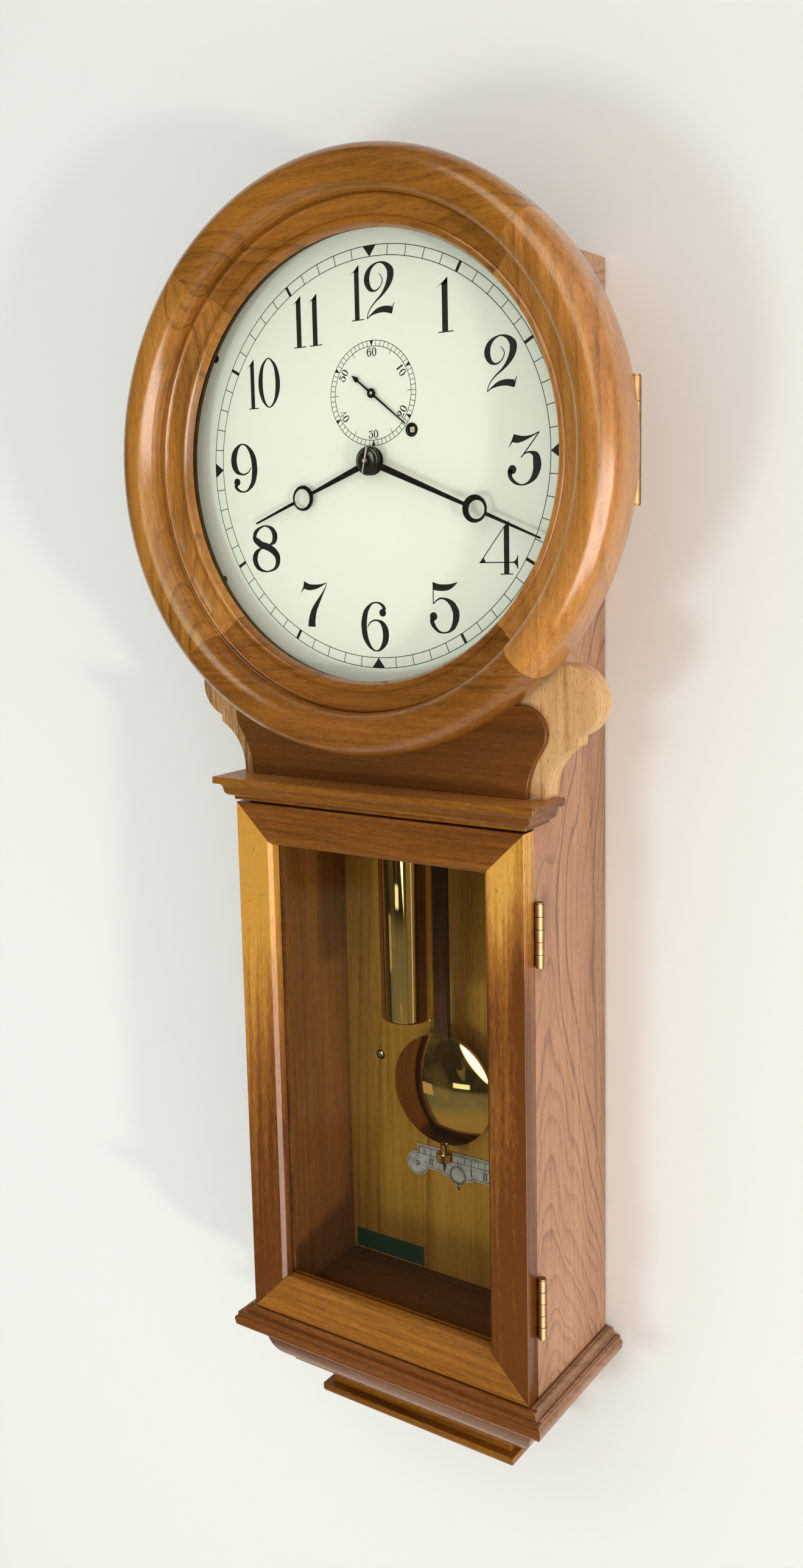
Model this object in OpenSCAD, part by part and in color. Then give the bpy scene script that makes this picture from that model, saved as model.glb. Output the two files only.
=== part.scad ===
// Weight-driven wall regulator clock with a round wooden bezel, a glazed trunk door
// and a stepped base.
// Millimetres, +Z up. The wall is the plane y = 0 and the dial faces -Y. The origin is the
// hanging hole in the backboard; heights in the modules are measured from the dial centre and
// depths are distances out from the wall.

/* [Case] */
// Outer width of the trunk
case_w = 248.4; // [240:0.2:262]
// Thickness of the side boards
board_t = 18; // [14:0.5:20]
// Depth of the trunk sides, out from the wall
trunk_d = 110.7; // [110:0.1:112]
// Depth of the sides behind the head board
head_d = 87; // [85:0.5:90]
// Height of the case above the dial centre
head_rise = 136.5; // [130:0.5:150]
// Length of the case below the dial centre
case_drop = 682; // [670:1:720]
// Height from the dial centre down to the foot of the head board
head_foot = 230.3; // [226:0.1:234]
// Thickness of the backboard
back_t = 12; // [9:0.5:14]
// Number of planks in the backboard
back_planks = 3; // [2:1:5]
// Thickness of the floor of the trunk
floor_t = 18; // [12:0.5:20]
// Height from the dial centre up to the hanging hole
hang_rise = 112; // [108:0.5:116]
// Radius of the hanging hole
hang_hole_r = 4; // [3:0.1:5]
// Distance between the two lower wall screws
wall_screw_span = 150; // [120:1:180]
// Radius of a lower wall screw hole
wall_screw_r = 2.5; // [2:0.1:3.5]

/* [Head board] */
// Thickness of the head board
head_board_t = 19; // [16:0.5:21]
// Radius of its round part
head_disc_r = 180; // [176:0.5:182]
// Distance of an ear's lobe centre from the middle line
ear_x = 144.5; // [140:0.5:150]
// Radius of an ear's lobe
ear_r = 25; // [22:0.5:27]
// Thickness of the apron below the bezel
apron_t = 5.5; // [4:0.1:5.7]
// Radius of an apron lobe
apron_r = 18.5; // [16:0.5:20]

/* [Mouldings] */
// Reach of the cornice beyond the trunk side
cornice_reach = 13.2; // [8:0.1:18]
// Height of the cornice
cornice_h = 18.3; // [14:0.1:20]
// Reach of the base moulding beyond the trunk side
base_reach = 14.2; // [9:0.1:18]
// Height of the rounded tier under the base moulding
tier_h = 32; // [26:0.5:40]
// Width of that tier at its foot
tier_w = 210; // [200:1:216]
// Height of the neck under the tier
neck_h = 24; // [16:0.5:30]
// Width of the neck
neck_w = 166; // [150:1:176]
// Width of the lowest block
drop_w = 177.4; // [170:0.2:190]
// Height of the lowest block
drop_h = 7.5; // [6:0.5:12]

/* [Door] */
// Width of a door stile
stile_w = 31.7; // [26:0.1:36]
// Width of the top rail
top_rail_w = 31; // [26:0.5:36]
// Width of the bottom rail
bottom_rail_w = 33; // [26:0.5:38]
// Thickness of the door frame
door_t = 15; // [13:0.1:16]
// Width of the chamfer round the door glass
door_chamfer = 3; // [1.5:0.1:4]
// Thickness of the glass panes
glass_t = 2.5; // [2:0.1:3]

/* [Bezel and dial] */
// Radius of the bezel at its back
bezel_r = 200; // [197:0.5:201]
// Radius of the opening in the bezel
bezel_open_r = 153; // [151:0.5:155]
// Distance of the bezel's flat back from the wall
bezel_back_d = 112; // [111.8:0.1:113]
// Radius of the big outer half round of the bezel
torus_r = 15; // [13.5:0.1:16]
// Radius of the dial plate
dial_r = 168; // [166:0.5:170]
// Height of the dial face above the head board
dial_h = 4; // [3:0.1:4.5]
// Length of the minute hand
minute_hand_l = 145; // [130:0.5:148]
// Length of the hour hand
hour_hand_l = 112.5; // [95:0.5:120]
// Length of the seconds hand
seconds_hand_l = 34.5; // [28:0.5:36]

/* [Movement] */
// Width of the movement plates
plate_w = 134; // [130:1:137]
// Thickness of the movement plates
plate_t = 2; // [1.6:0.1:2.4]
// Distance between the movement plates
plate_gap = 36; // [36:0.1:36.6]
// Height of the seconds arbor above the dial centre
seconds_rise = 46.3; // [45:0.1:48]
// Position of the winding arbor across
winding_x = 31.8; // [31.5:0.1:33]
// Height of the winding arbor
winding_z = 19.6; // [19:0.1:21]
// Module of the going train
train_module = 0.8; // [0.79:0.005:0.82]
// Radius of the escape wheel
escape_r = 17.4; // [16.5:0.1:17.8]

/* [Weight and pendulum] */
// Radius of the weight
weight_r = 20; // [17:0.1:21]
// Length of the weight
weight_l = 155; // [120:1:170]
// Height from the dial centre down to the foot of the weight
weight_foot = 413; // [405:1:440]
// Radius of the weight line
line_r = 0.75; // [0.6:0.05:0.8]
// Height of the pendulum's suspension above the dial centre
suspension_rise = 71.4; // [71:0.1:72]
// Height from the dial centre down to the middle of the bob
bob_drop = 488; // [470:0.5:495]
// Radius of the bob
bob_r = 45; // [40:0.5:48]
// Half thickness of the bob
bob_bulge = 12; // [9:0.5:12]
// Width of the pendulum rod
rod_w = 12.5; // [10:0.1:13]
// Thickness of the pendulum rod
rod_t = 5; // [4:0.1:5.4]

/* [Fits] */
// Radial clearance of pins and arbors in their holes
run_gap = 0.05; // [0.03:0.01:0.08]
// Gap left between neighbouring pieces that move apart
part_gap = 0.3; // [0.2:0.05:0.4]

/* [Hidden] */
$fn = 96;
eps = 0.01;
seam = 0.1;
big = 600;

case_half = case_w / 2;
inner_half = case_half - board_t;
floor_top = -case_drop + floor_t + 5;

head_board_d = head_d + head_board_t;
dial_d = head_board_d + dial_h;
dial_screw_x = 141;
dial_screw_z = 82;
opening_half = 72;
opening_top = 86;
opening_foot = -96;
weight_slot_half = weight_r + 6;

cornice_foot = -head_foot - cornice_h;
base_top = -665;
tier_top = -case_drop;
tier_foot = tier_top - tier_h - 4;
neck_foot = tier_foot - neck_h;
base_front_d = 122.1;
tier_front_d = 101.5;
neck_front_d = 79;
drop_front_d = 85.9;

door_back_d = trunk_d + part_gap;
door_front_d = door_back_d + door_t;
door_top = cornice_foot - 1.8;
door_foot = base_top + 0.6;
door_len = door_top - door_foot;
rebate_w = 6;
bead_t = 2;
glass_edge_gap = 0.5;
inside_top = door_top - top_rail_w;
inside_foot = door_foot + bottom_rail_w;

leaf_t = 1.2;
door_pin_r = 1.5;
door_barrel_r = 3.25;
door_axis_x = case_half + door_barrel_r + 0.05;
door_hinge_l = 44;
door_hinge_tops = [-301, -573.5];
bezel_hinge_l = 78;
bezel_hinge_z = 3;
bezel_barrel_r = 3.5;
bezel_axis_x = 195.5;
bezel_axis_d = 108.5;
knuckles = 5;

catch_z = -445;
catch_d = trunk_d - 9;
door_pin_d = door_back_d + door_t / 2;
hook_t = 1.8;
hook_pin_r = 1.3;

torus_x = bezel_r - 11.5;
torus_d = bezel_back_d + 31;
glass_d = bezel_back_d + 12.5;

back_plate_d = 56;
front_inner_d = back_plate_d + plate_t + plate_gap;
front_plate_d = front_inner_d + plate_t;
seat_top = -68;
seat_t = 12;
plate_top = 82;
pillar_x = 59;
pillar_z = [-60, 74];
pillar_r = 4;

// Teeth of the wheels and leaves of the pinions, from the weight to the escape wheel.
great_teeth = 80;
centre_leaves = 12;
centre_teeth = 64;
fine_leaves = 8;
third_teeth = 60;
escape_teeth = 40;

great_dist = norm([winding_x, winding_z]);
great_module = 2 * great_dist / (great_teeth + centre_leaves);
centre_dist = train_module * (centre_teeth + fine_leaves) / 2;
third_dist = train_module * (third_teeth + fine_leaves) / 2;
third_z = (centre_dist * centre_dist - third_dist * third_dist + seconds_rise * seconds_rise)
    / (2 * seconds_rise);
third_x = -sqrt(centre_dist * centre_dist - third_z * third_z);
cannon_leaves = 12;
minute_teeth = 36;
minute_leaves = 10;
hour_teeth = 40;
motion_dist = 18;
cannon_module = 2 * motion_dist / (cannon_leaves + minute_teeth);
hour_module = 2 * motion_dist / (minute_leaves + hour_teeth);

pivot_r = 1;
arbor_r = 2;
centre_arbor_r = 1.6;
cannon_r = 3;
hour_pipe_r = 4.2;
winding_arbor_r = 2.6;

seconds_hand_d = dial_d + 1.5;
hour_hand_d = dial_d + 3;
minute_hand_d = dial_d + 7;
hand_t = 1;
hub_r = 10;
minute_angle = 112.6;
hour_angle = 248.8;
seconds_angle = 129;

line_d = 82;
line_x = winding_x - 16;
drum_r = 16 - line_r - 0.1;
pulley_z = -232;
pulley_w = 8;
weight_top = weight_foot - weight_l;

rod_d = 33.5;
cock_back_d = 43;
bob_foot = bob_drop + bob_r;
nut_top = bob_foot + 0.2;

// Depth d out from the wall, height z from the dial centre.
module hung() {
    translate([0, 0, -hang_rise]) children();
}

// A drawing in x and z, t thick, whose back lies d out from the wall.
module upright(d, t) {
    translate([0, -d, 0]) rotate([90, 0, 0]) linear_extrude(t) children();
}

// A drawing in -d and z, run along x from x0.
module across(x0, l) {
    translate([x0, 0, 0]) rotate([90, 0, 90]) linear_extrude(l) children();
}

// A profile of [radius, depth] turned round an arbor that stands out from the wall.
module turned(x = 0, z = 0) {
    translate([x, 0, z]) rotate([90, 0, 0]) rotate_extrude() children();
}

// A round bar along the depth.
module bar_out(x, z, r, d0, d1) {
    translate([x, -d0, z]) rotate([90, 0, 0]) cylinder(r = r, h = d1 - d0);
}

module pair(x) {
    for (side = [-1, 1]) translate([side * x, 0, 0]) children();
}

function arc(x, z, rx, rz, from, to, steps) =
    [for (i = [0 : steps]) let (a = from + (to - from) * i / steps) [x + rx * cos(a), z + rz * sin(a)]];

function flip(points) = [for (i = [len(points) - 1 : -1 : 0]) [-points[i][0], points[i][1]]];

// A block whose front and sides follow one moulding profile of [reach, z], mitred at the corners.
module moulded(half, front, profile, back = 0) {
    top = profile[0][1];
    foot = profile[len(profile) - 1][1];
    side_points = [for (p = profile) [half + p[0], p[1]]];
    front_points = [for (p = profile) [-front - p[0], p[1]]];
    intersection() {
        upright(back, front + big / 4) polygon(concat(side_points, flip(side_points)));
        across(-big / 2, big) polygon(concat([[-back, top]], front_points, [[-back, foot]]));
    }
}

function gear_points(n, m, addendum = 0.85, dedendum = 1.15) =
    let (tip = m * (n / 2 + addendum), root = m * (n / 2 - dedendum), step = 360 / n)
    [for (i = [0 : n - 1], k = [0 : 3])
        let (r = (k == 0 || k == 3) ? root : tip)
        let (w = [-0.23, -0.1, 0.1, 0.23][k])
        [r * cos((i + w) * step), r * sin((i + w) * step)]];

// Angle of wheel b's first tooth when wheel a, at angle phase_a, meshes with it across theta.
function meshed(theta, n_a, phase_a, n_b) =
    theta + 180 + 180 / n_b - (phase_a - theta) * n_a / n_b;

function angle_to(p) = atan2(p[1], p[0]);

// A toothed wheel with crossings, flat in the drawing.
module wheel_2d(points, rim_r, hub, bore, spokes, spoke_w) {
    difference() {
        polygon(points);
        difference() {
            circle(r = rim_r);
            circle(r = hub);
            for (i = [0 : spokes - 1]) rotate(i * 360 / spokes)
                translate([0, -spoke_w / 2]) square([rim_r + 1, spoke_w]);
        }
        circle(r = bore);
    }
}

third_angle = angle_to([third_x, third_z]);
centre_phase = third_angle;
third_pinion_phase = meshed(third_angle, centre_teeth, centre_phase, fine_leaves);
to_escape = angle_to([-third_x, seconds_rise - third_z]);
escape_pinion_phase = meshed(to_escape, third_teeth, to_escape, fine_leaves);
to_centre = angle_to([-winding_x, -winding_z]);
centre_pinion_phase = meshed(to_centre, great_teeth, to_centre, centre_leaves);
minute_wheel_phase = meshed(-90, cannon_leaves, -90, minute_teeth);
hour_wheel_phase = meshed(90, minute_leaves, 90, hour_teeth);

module plank(i) {
    w = 2 * inner_half / back_planks;
    translate([-inner_half + i * w + seam / 2, -back_t, -case_drop])
        cube([w - seam, back_t, case_drop + head_rise]);
}

module screw_hole(x, z, r) {
    bar_out(x, z, r, -1, back_t + 1);
    turned(x, z)
        polygon([[0, back_t - r], [r, back_t - r], [2 * r + 0.2, back_t + 0.2], [0, back_t + 0.2]]);
}

module backboard() {
    color("burlywood") hung() difference() {
        for (i = [0 : back_planks - 1]) plank(i);
        bar_out(0, hang_rise, hang_hole_r, -1, back_t + 1);
        for (side = [-1, 1]) screw_hole(side * wall_screw_span / 2, -481, wall_screw_r);
    }
}

// Outline of a side board, set back above the foot of the head board.
module side_outline() {
    polygon([
        [0, -case_drop], [-trunk_d, -case_drop], [-trunk_d, -head_foot],
        [-head_d, -head_foot], [-head_d, head_rise], [0, head_rise]
    ]);
}

module side_left() {
    color("rosybrown") hung() across(-case_half, board_t) side_outline();
}

module side_right() {
    color("rosybrown") hung() difference() {
        across(inner_half, board_t) side_outline();
        for (top = door_hinge_tops) translate([inner_half + 2, -trunk_d - 1, top - door_hinge_l])
            cube([board_t, leaf_t + 1, door_hinge_l]);
    }
}

module case_top() {
    color("saddlebrown") hung() translate([-inner_half, -head_d, head_rise - board_t])
        cube([2 * inner_half, head_d - back_t, board_t]);
}

module case_floor() {
    color("saddlebrown") hung() translate([-inner_half, -trunk_d, floor_top - floor_t])
        cube([2 * inner_half, trunk_d - back_t, floor_t]);
}

// One ear of the head board: a lobe, a short step and a hollow down to the foot.
function ear_points() = let (hollow_x = 169.4, hollow_z = -head_foot + 2.6, hollow_r = 39.1) concat(
    arc(ear_x, -163.5, ear_r, ear_r, 90, -72, 14),
    [[152.4, -187.4]],
    arc(hollow_x, hollow_z, hollow_r, hollow_r, 115.8, 180, 8),
    [[130.3, -head_foot]]
);

module head_board() {
    color("peru") hung() difference() {
        union() {
            upright(head_d, head_board_t) circle(r = head_disc_r);
            upright(head_d, head_board_t) polygon(concat(ear_points(), flip(ear_points())));
        }
        upright(head_d - 1, head_board_t + 2) union() {
            translate([-opening_half, opening_foot]) square([2 * opening_half, opening_top - opening_foot]);
            translate([-weight_slot_half, -big / 2]) square([2 * weight_slot_half, big / 2]);
        }
    }
}

// Half of the apron: it starts under the bezel, swells into a lobe and sweeps in to its foot.
function apron_points() = let (lobe_x = 115, hollow_x = 174.9, hollow_r = 56.4) concat(
    [[lobe_x + 4, -166.5]],
    arc(lobe_x, -185, apron_r, apron_r, 60, -38, 10),
    arc(hollow_x, -head_foot, hollow_r, hollow_r, 143.5, 180, 6)
);

module apron_board() {
    color("brown") hung() upright(head_board_d, apron_t) difference() {
        polygon(concat(apron_points(), flip(apron_points())));
        circle(r = dial_r + part_gap);
    }
}

// Fillet, ogee and lower fillet of the cornice, as [reach, z].
function cornice_profile() =
    let (reach = cornice_reach, top = -head_foot, foot = cornice_foot, ogee_h = cornice_h - 8.5)
    concat(
        [[reach, top], [reach, top - 5.3], [reach - 1.2, top - 5.3]],
        arc(reach - 1.2, top - 5.3 - ogee_h / 2, (reach - 4.1) / 2, ogee_h / 2, 90, 180, 6),
        arc(2.9, top - 5.3 - ogee_h / 2, (reach - 4.1) / 2, ogee_h / 2, 0, -90, 6),
        [[1.4, foot + 3.2], [1.4, foot]]
    );

module cornice() {
    color("peru") hung() difference() {
        moulded(case_half, trunk_d + 14.2, cornice_profile(), 91);
        translate([-case_half, -trunk_d, -big / 2]) cube([case_w, trunk_d, big]);
    }
}

// Quirk, beads, ogee and rounded fascia of the base moulding, as [reach, z].
function base_profile() = concat(
    [[0, base_top], [2, base_top]],
    arc(4.6, base_top - 2, 2.2, 2, 150, 0, 5),
    arc(8.6, base_top - 3, 1.8, 2.2, 180, 270, 3),
    arc(base_reach - 3.6, base_top - 6, 1.6, 1.6, 150, -20, 5),
    [[base_reach - 2.2, base_top - 7.8]],
    arc(base_reach - 2.4, base_top - 10.4, 2.4, 2.4, 70, 0, 3),
    [[base_reach - 0.6, -case_drop + 3.4]],
    arc(base_reach - 3.6, -case_drop + 3, 3, 3, 0, -90, 4)
);

module base_moulding() {
    color("sienna") hung() difference() {
        moulded(case_half, base_front_d, base_profile());
        translate([-case_half, -trunk_d, -big * 2]) cube([case_w, trunk_d + 1, big * 2]);
    }
}

module base_tier() {
    reach = 17;
    color("sienna") hung() moulded(tier_w / 2, tier_front_d, concat(
        arc(0, tier_top, reach, tier_h, 0, -90, 12),
        [[0, tier_foot]]
    ));
}

module base_drop() {
    soft = 3;
    color("peru") hung() union() {
        moulded(neck_w / 2, neck_front_d, [[0, tier_foot], [0, neck_foot]]);
        moulded(drop_w / 2, drop_front_d, concat(
            [[0, neck_foot], [0, neck_foot - drop_h + soft]],
            arc(-soft, neck_foot - drop_h + soft, soft, soft, 0, -90, 5)
        ));
    }
}

module seat_board() {
    tongue_half = 66;
    slot_half = rod_w / 2 + 8;
    color("saddlebrown") hung() difference() {
        union() {
            translate([-inner_half, -head_d, seat_top - seat_t])
                cube([2 * inner_half, head_d - back_t, seat_t]);
            translate([-tongue_half, -front_plate_d - 1, seat_top - seat_t])
                cube([2 * tongue_half, front_plate_d + 1 - head_d, seat_t]);
        }
        translate([-slot_half, -rod_d - rod_t - 3, seat_top - seat_t - 1])
            cube([2 * slot_half, rod_t * 2 + 6, seat_t + 2]);
        pair(line_x) translate([0, -line_d, seat_top - seat_t - 1])
            cylinder(r = line_r + 2, h = seat_t + 2);
    }
}

// Scale plate under the pendulum: a stepped band, a round lobe at each end and a hollow-sided point.
module beat_plate() {
    band_half = 38.2;
    top = -549.5;
    foot = -569.2;
    lobe = [38.6, -566.7];
    shoulder = [14.2, -571];
    point_h = 10.6;
    half_point = concat(
        [[-shoulder[0], foot], shoulder - [2 * shoulder[0], 0]],
        arc(-shoulder[0], shoulder[1] - point_h, shoulder[0], point_h, 80, 0, 7)
    );
    color("silver") hung() upright(back_t, 1.5) union() {
        translate([-band_half, foot]) square([2 * band_half, top - foot]);
        pair(lobe[0]) translate([0, lobe[1]]) circle(r = 10.2);
        polygon(concat(half_point, flip(half_point)));
    }
}

module dial_plate() {
    sheet_t = 1.2;
    color("ivory") hung() difference() {
        turned() polygon([
            [0, dial_d - sheet_t], [dial_r - sheet_t, dial_d - sheet_t], [dial_r - sheet_t, head_board_d],
            [dial_r, head_board_d], [dial_r, dial_d], [0, dial_d]
        ]);
        bar_out(0, 0, hour_pipe_r + 1, head_board_d, dial_d + 1);
        bar_out(0, seconds_rise, arbor_r + 0.5, head_board_d, dial_d + 1);
        bar_out(winding_x, winding_z, 4.5, head_board_d, dial_d + 1);
        for (sx = [-1, 1], sz = [-1, 1])
            bar_out(sx * dial_screw_x, sz * dial_screw_z, 1.3, head_board_d, dial_d + 1);
    }
}

module dial_screws() {
    color("silver") hung() for (sx = [-1, 1], sz = [-1, 1])
        turned(sx * dial_screw_x, sz * dial_screw_z) polygon([
            [0, head_board_d], [1.25, head_board_d], [1.25, dial_d], [2.8, dial_d],
            [2.6, dial_d + 0.7], [1.6, dial_d + 1.2], [0, dial_d + 1.3]
        ]);
}

module winding_ferrule() {
    color("black") hung() turned(winding_x, winding_z) polygon([
        [3.6, dial_d - 2.4], [4.45, dial_d - 2.4], [4.45, dial_d], [6.2, dial_d],
        [5.9, dial_d + 0.7], [5, dial_d + 0.9], [3.6, dial_d + 0.4]
    ]);
}

// Every second knuckle of a hinge barrel, starting with knuckle first.
module hinge_knuckles(x, d, z, l, r, pin_r, first) {
    knuckle_l = (l - (knuckles - 1) * part_gap) / knuckles;
    for (i = [first : 2 : knuckles - 1]) translate([x, -d, z + i * (knuckle_l + part_gap)]) difference() {
        cylinder(r = r, h = knuckle_l);
        translate([0, 0, -1]) cylinder(r = pin_r, h = knuckle_l + 2);
    }
}

// A leaf from x0 to the barrel, cut away where the other leaf's knuckles turn.
module hinge_leaf(x0, x1, d, z, l, r, first) {
    knuckle_l = (l - (knuckles - 1) * part_gap) / knuckles;
    difference() {
        translate([x0, -d - leaf_t, z]) cube([x1 - x0, leaf_t, l]);
        for (i = [1 - first : 2 : knuckles - 1])
            translate([x1 - r - part_gap, -d - 3 * r, z + i * (knuckle_l + part_gap) - part_gap])
                cube([3 * r, 6 * r, knuckle_l + 2 * part_gap]);
    }
}

module half_hinge(x0, x, d_leaf, d, z, l, r, pin_r, first) {
    difference() {
        union() {
            hinge_leaf(x0, x, d_leaf, z, l, r, first);
            hinge_knuckles(x, d, z, l, r, pin_r - 0.3, first);
        }
        translate([x, -d, z - 1]) cylinder(r = pin_r, h = l + 2);
    }
}

bezel_hinge_foot = bezel_hinge_z - bezel_hinge_l / 2;

module hinge_leaves() {
    color("darkgoldenrod") hung() {
        half_hinge(dial_r + 1.5, bezel_axis_x, head_board_d, bezel_axis_d, bezel_hinge_foot,
            bezel_hinge_l, bezel_barrel_r, door_pin_r + run_gap, 1);
        for (top = door_hinge_tops)
            half_hinge(inner_half + 2, door_axis_x, trunk_d - leaf_t, door_back_d, top - door_hinge_l,
                door_hinge_l, door_barrel_r, door_pin_r + run_gap, 0);
    }
}

module hinge_pin(x, d, z, l, r) {
    translate([x, -d, z]) cylinder(r = door_pin_r, h = l);
    for (end = [-1, l]) translate([x, -d, z + end]) cylinder(r = r - 0.4, h = 1);
}

module hinge_pins() {
    color("goldenrod") hung() {
        hinge_pin(bezel_axis_x, bezel_axis_d, bezel_hinge_foot, bezel_hinge_l, bezel_barrel_r);
        for (top = door_hinge_tops)
            hinge_pin(door_axis_x, door_back_d, top - door_hinge_l, door_hinge_l, door_barrel_r);
    }
}

module plate_2d() {
    corner = 6;
    half = plate_w / 2;
    h = plate_top - seat_top;
    translate([0, (plate_top + seat_top) / 2]) difference() {
        union() {
            square([plate_w - 2 * corner, h], center = true);
            square([plate_w, h - 2 * corner], center = true);
            for (sx = [-1, 1], sz = [-1, 1])
                translate([sx * (half - corner), sz * (h / 2 - corner)]) circle(r = corner);
        }
    }
}

module pillar_holes() {
    for (sx = [-1, 1], z = pillar_z) translate([sx * pillar_x, z]) circle(r = 2 + run_gap);
}

module front_plate() {
    color("goldenrod") hung() union() {
        upright(front_inner_d, plate_t) difference() {
            plate_2d();
            pillar_holes();
            circle(r = centre_arbor_r + run_gap);
            translate([0, seconds_rise]) circle(r = pivot_r + run_gap);
            translate([third_x, third_z]) circle(r = pivot_r + run_gap);
            translate([winding_x, winding_z]) circle(r = winding_arbor_r + run_gap);
            translate([0, suspension_rise]) circle(r = pivot_r + run_gap);
        }
        bar_out(0, -motion_dist, 1.5, front_plate_d - eps, front_plate_d + 10.6);
        bar_out(0, -motion_dist, 3, front_plate_d - eps, front_plate_d + 2);
    }
}

module back_plate() {
    color("goldenrod") hung() upright(back_plate_d, plate_t) difference() {
        plate_2d();
        pillar_holes();
        circle(r = pivot_r + run_gap);
        translate([0, seconds_rise]) circle(r = pivot_r + run_gap);
        translate([third_x, third_z]) circle(r = pivot_r + run_gap);
        translate([winding_x, winding_z]) circle(r = pivot_r + run_gap);
        translate([0, suspension_rise]) circle(r = 4);
    }
}

// Turned pillars with a nut at the front and a riveted end at the back.
module plate_pillars() {
    color("gold") hung() for (sx = [-1, 1], z = pillar_z) turned(sx * pillar_x, z) polygon([
        [0, back_plate_d - 1], [3, back_plate_d - 1], [3, back_plate_d], [2, back_plate_d],
        [2, back_plate_d + plate_t], [pillar_r, back_plate_d + plate_t],
        [pillar_r, back_plate_d + plate_t + 4], [pillar_r - 1, back_plate_d + plate_t + 6],
        [pillar_r - 1, front_inner_d - 6], [pillar_r, front_inner_d - 4], [pillar_r, front_inner_d],
        [2, front_inner_d], [2, front_plate_d], [3.4, front_plate_d], [3.4, front_plate_d + 3],
        [0, front_plate_d + 3]
    ]);
}

// The cock carries the crutch arbor's rear pivot and, on its stud, the suspension pin.
module suspension_cock() {
    foot_x = 22;
    stud_half = 5;
    color("goldenrod") hung() difference() {
        union() {
            upright(cock_back_d, 3)
                translate([-foot_x - 5, suspension_rise - 8]) square([2 * foot_x + 10, 16]);
            pair(foot_x) upright(cock_back_d, back_plate_d - cock_back_d)
                translate([-4, suspension_rise - 6]) square([8, 12]);
            upright(rod_d - 7, cock_back_d - rod_d + 7)
                translate([-stud_half, suspension_rise - 4]) square([2 * stud_half, 10]);
        }
        upright(rod_d - 3, 6)
            translate([-stud_half - 1, suspension_rise - 5]) square([2 * stud_half + 2, 7.6]);
        bar_out(0, suspension_rise, 1.5 + run_gap, rod_d - 8, rod_d + 8);
        bar_out(0, suspension_rise, pivot_r + run_gap, cock_back_d - 2, cock_back_d + 4);
    }
}

module line_hook() {
    color("silver") hung() translate([-line_x, -line_d, 0]) difference() {
        union() {
            translate([0, 0, seat_top]) cylinder(r = 6, h = 1.5);
            translate([0, 0, seat_top - seat_t - 5]) cylinder(r = 2, h = seat_t + 5);
        }
        translate([0, 0, seat_top - seat_t - 6]) cylinder(r = line_r, h = 4);
    }
}

module line_drum_run() {
    color("dimgray") hung() translate([line_x, -line_d, pulley_z])
        cylinder(r = line_r, h = winding_z - pulley_z);
}

module line_hook_run() {
    top = seat_top - seat_t - 2;
    color("dimgray") hung() translate([-line_x, -line_d, pulley_z])
        cylinder(r = line_r, h = top - pulley_z);
}

// A door member along z with its outer edge at x = 0, mitred to its neighbours' widths.
module door_member(w, l, cut_foot, cut_top) {
    intersection() {
        linear_extrude(l) polygon([
            [0, -door_back_d], [w - rebate_w, -door_back_d], [w - rebate_w, -door_back_d - bead_t - glass_t],
            [w, -door_back_d - bead_t - glass_t], [w, -door_front_d + door_chamfer],
            [w - door_chamfer, -door_front_d], [0, -door_front_d]
        ]);
        upright(0, big / 2) polygon([[0, 0], [w, cut_foot], [w, l - cut_top], [0, l]]);
    }
}

module door_stile_left() {
    color("darkgoldenrod") hung() translate([-case_half, 0, door_foot])
        door_member(stile_w, door_len, bottom_rail_w, top_rail_w);
}

module door_stile_right() {
    color("darkgoldenrod") hung() difference() {
        translate([case_half, 0, door_foot]) mirror([1, 0, 0])
            door_member(stile_w, door_len, bottom_rail_w, top_rail_w);
        for (top = door_hinge_tops) translate([inner_half + 2, -door_back_d - leaf_t, top - door_hinge_l])
            cube([board_t, leaf_t + 1, door_hinge_l]);
    }
}

module door_rail_top() {
    color("darkgoldenrod") hung() translate([-case_half, 0, door_top]) rotate([0, 90, 0])
        door_member(top_rail_w, case_w, stile_w, stile_w);
}

module door_rail_bottom() {
    color("darkgoldenrod") hung() translate([-case_half, 0, door_foot]) mirror([0, 0, 1]) rotate([0, 90, 0])
        door_member(bottom_rail_w, case_w, stile_w, stile_w);
}

module glass_sheet(grow, d, t) {
    half = case_half - stile_w + grow;
    upright(d, t) translate([-half, inside_foot - grow])
        square([2 * half, inside_top - inside_foot + 2 * grow]);
}

module door_glass() {
    color("lightblue", 0.4) hung() glass_sheet(rebate_w - glass_edge_gap, door_back_d + bead_t, glass_t);
}

module glass_beads() {
    color("saddlebrown") hung() difference() {
        glass_sheet(rebate_w, door_back_d, bead_t);
        glass_sheet(0, door_back_d - 1, bead_t + 2);
    }
}

// A round pin standing out of the left side of the case or door at depth d.
module side_pin(d, r, from, to) {
    translate([-case_half - from, -d, catch_z]) rotate([0, -90, 0]) cylinder(r = r, h = to - from);
}

// The flaps of the two door hinges, and the pin in the door's edge that the hook takes hold of.
module door_fittings() {
    color("darkgoldenrod") hung() {
        for (top = door_hinge_tops) half_hinge(inner_half + 2, door_axis_x, door_back_d, door_back_d,
            top - door_hinge_l, door_hinge_l, door_barrel_r, door_pin_r + run_gap, 1);
        side_pin(door_pin_d, hook_pin_r, 0, part_gap + hook_t + 0.4);
    }
}

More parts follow.
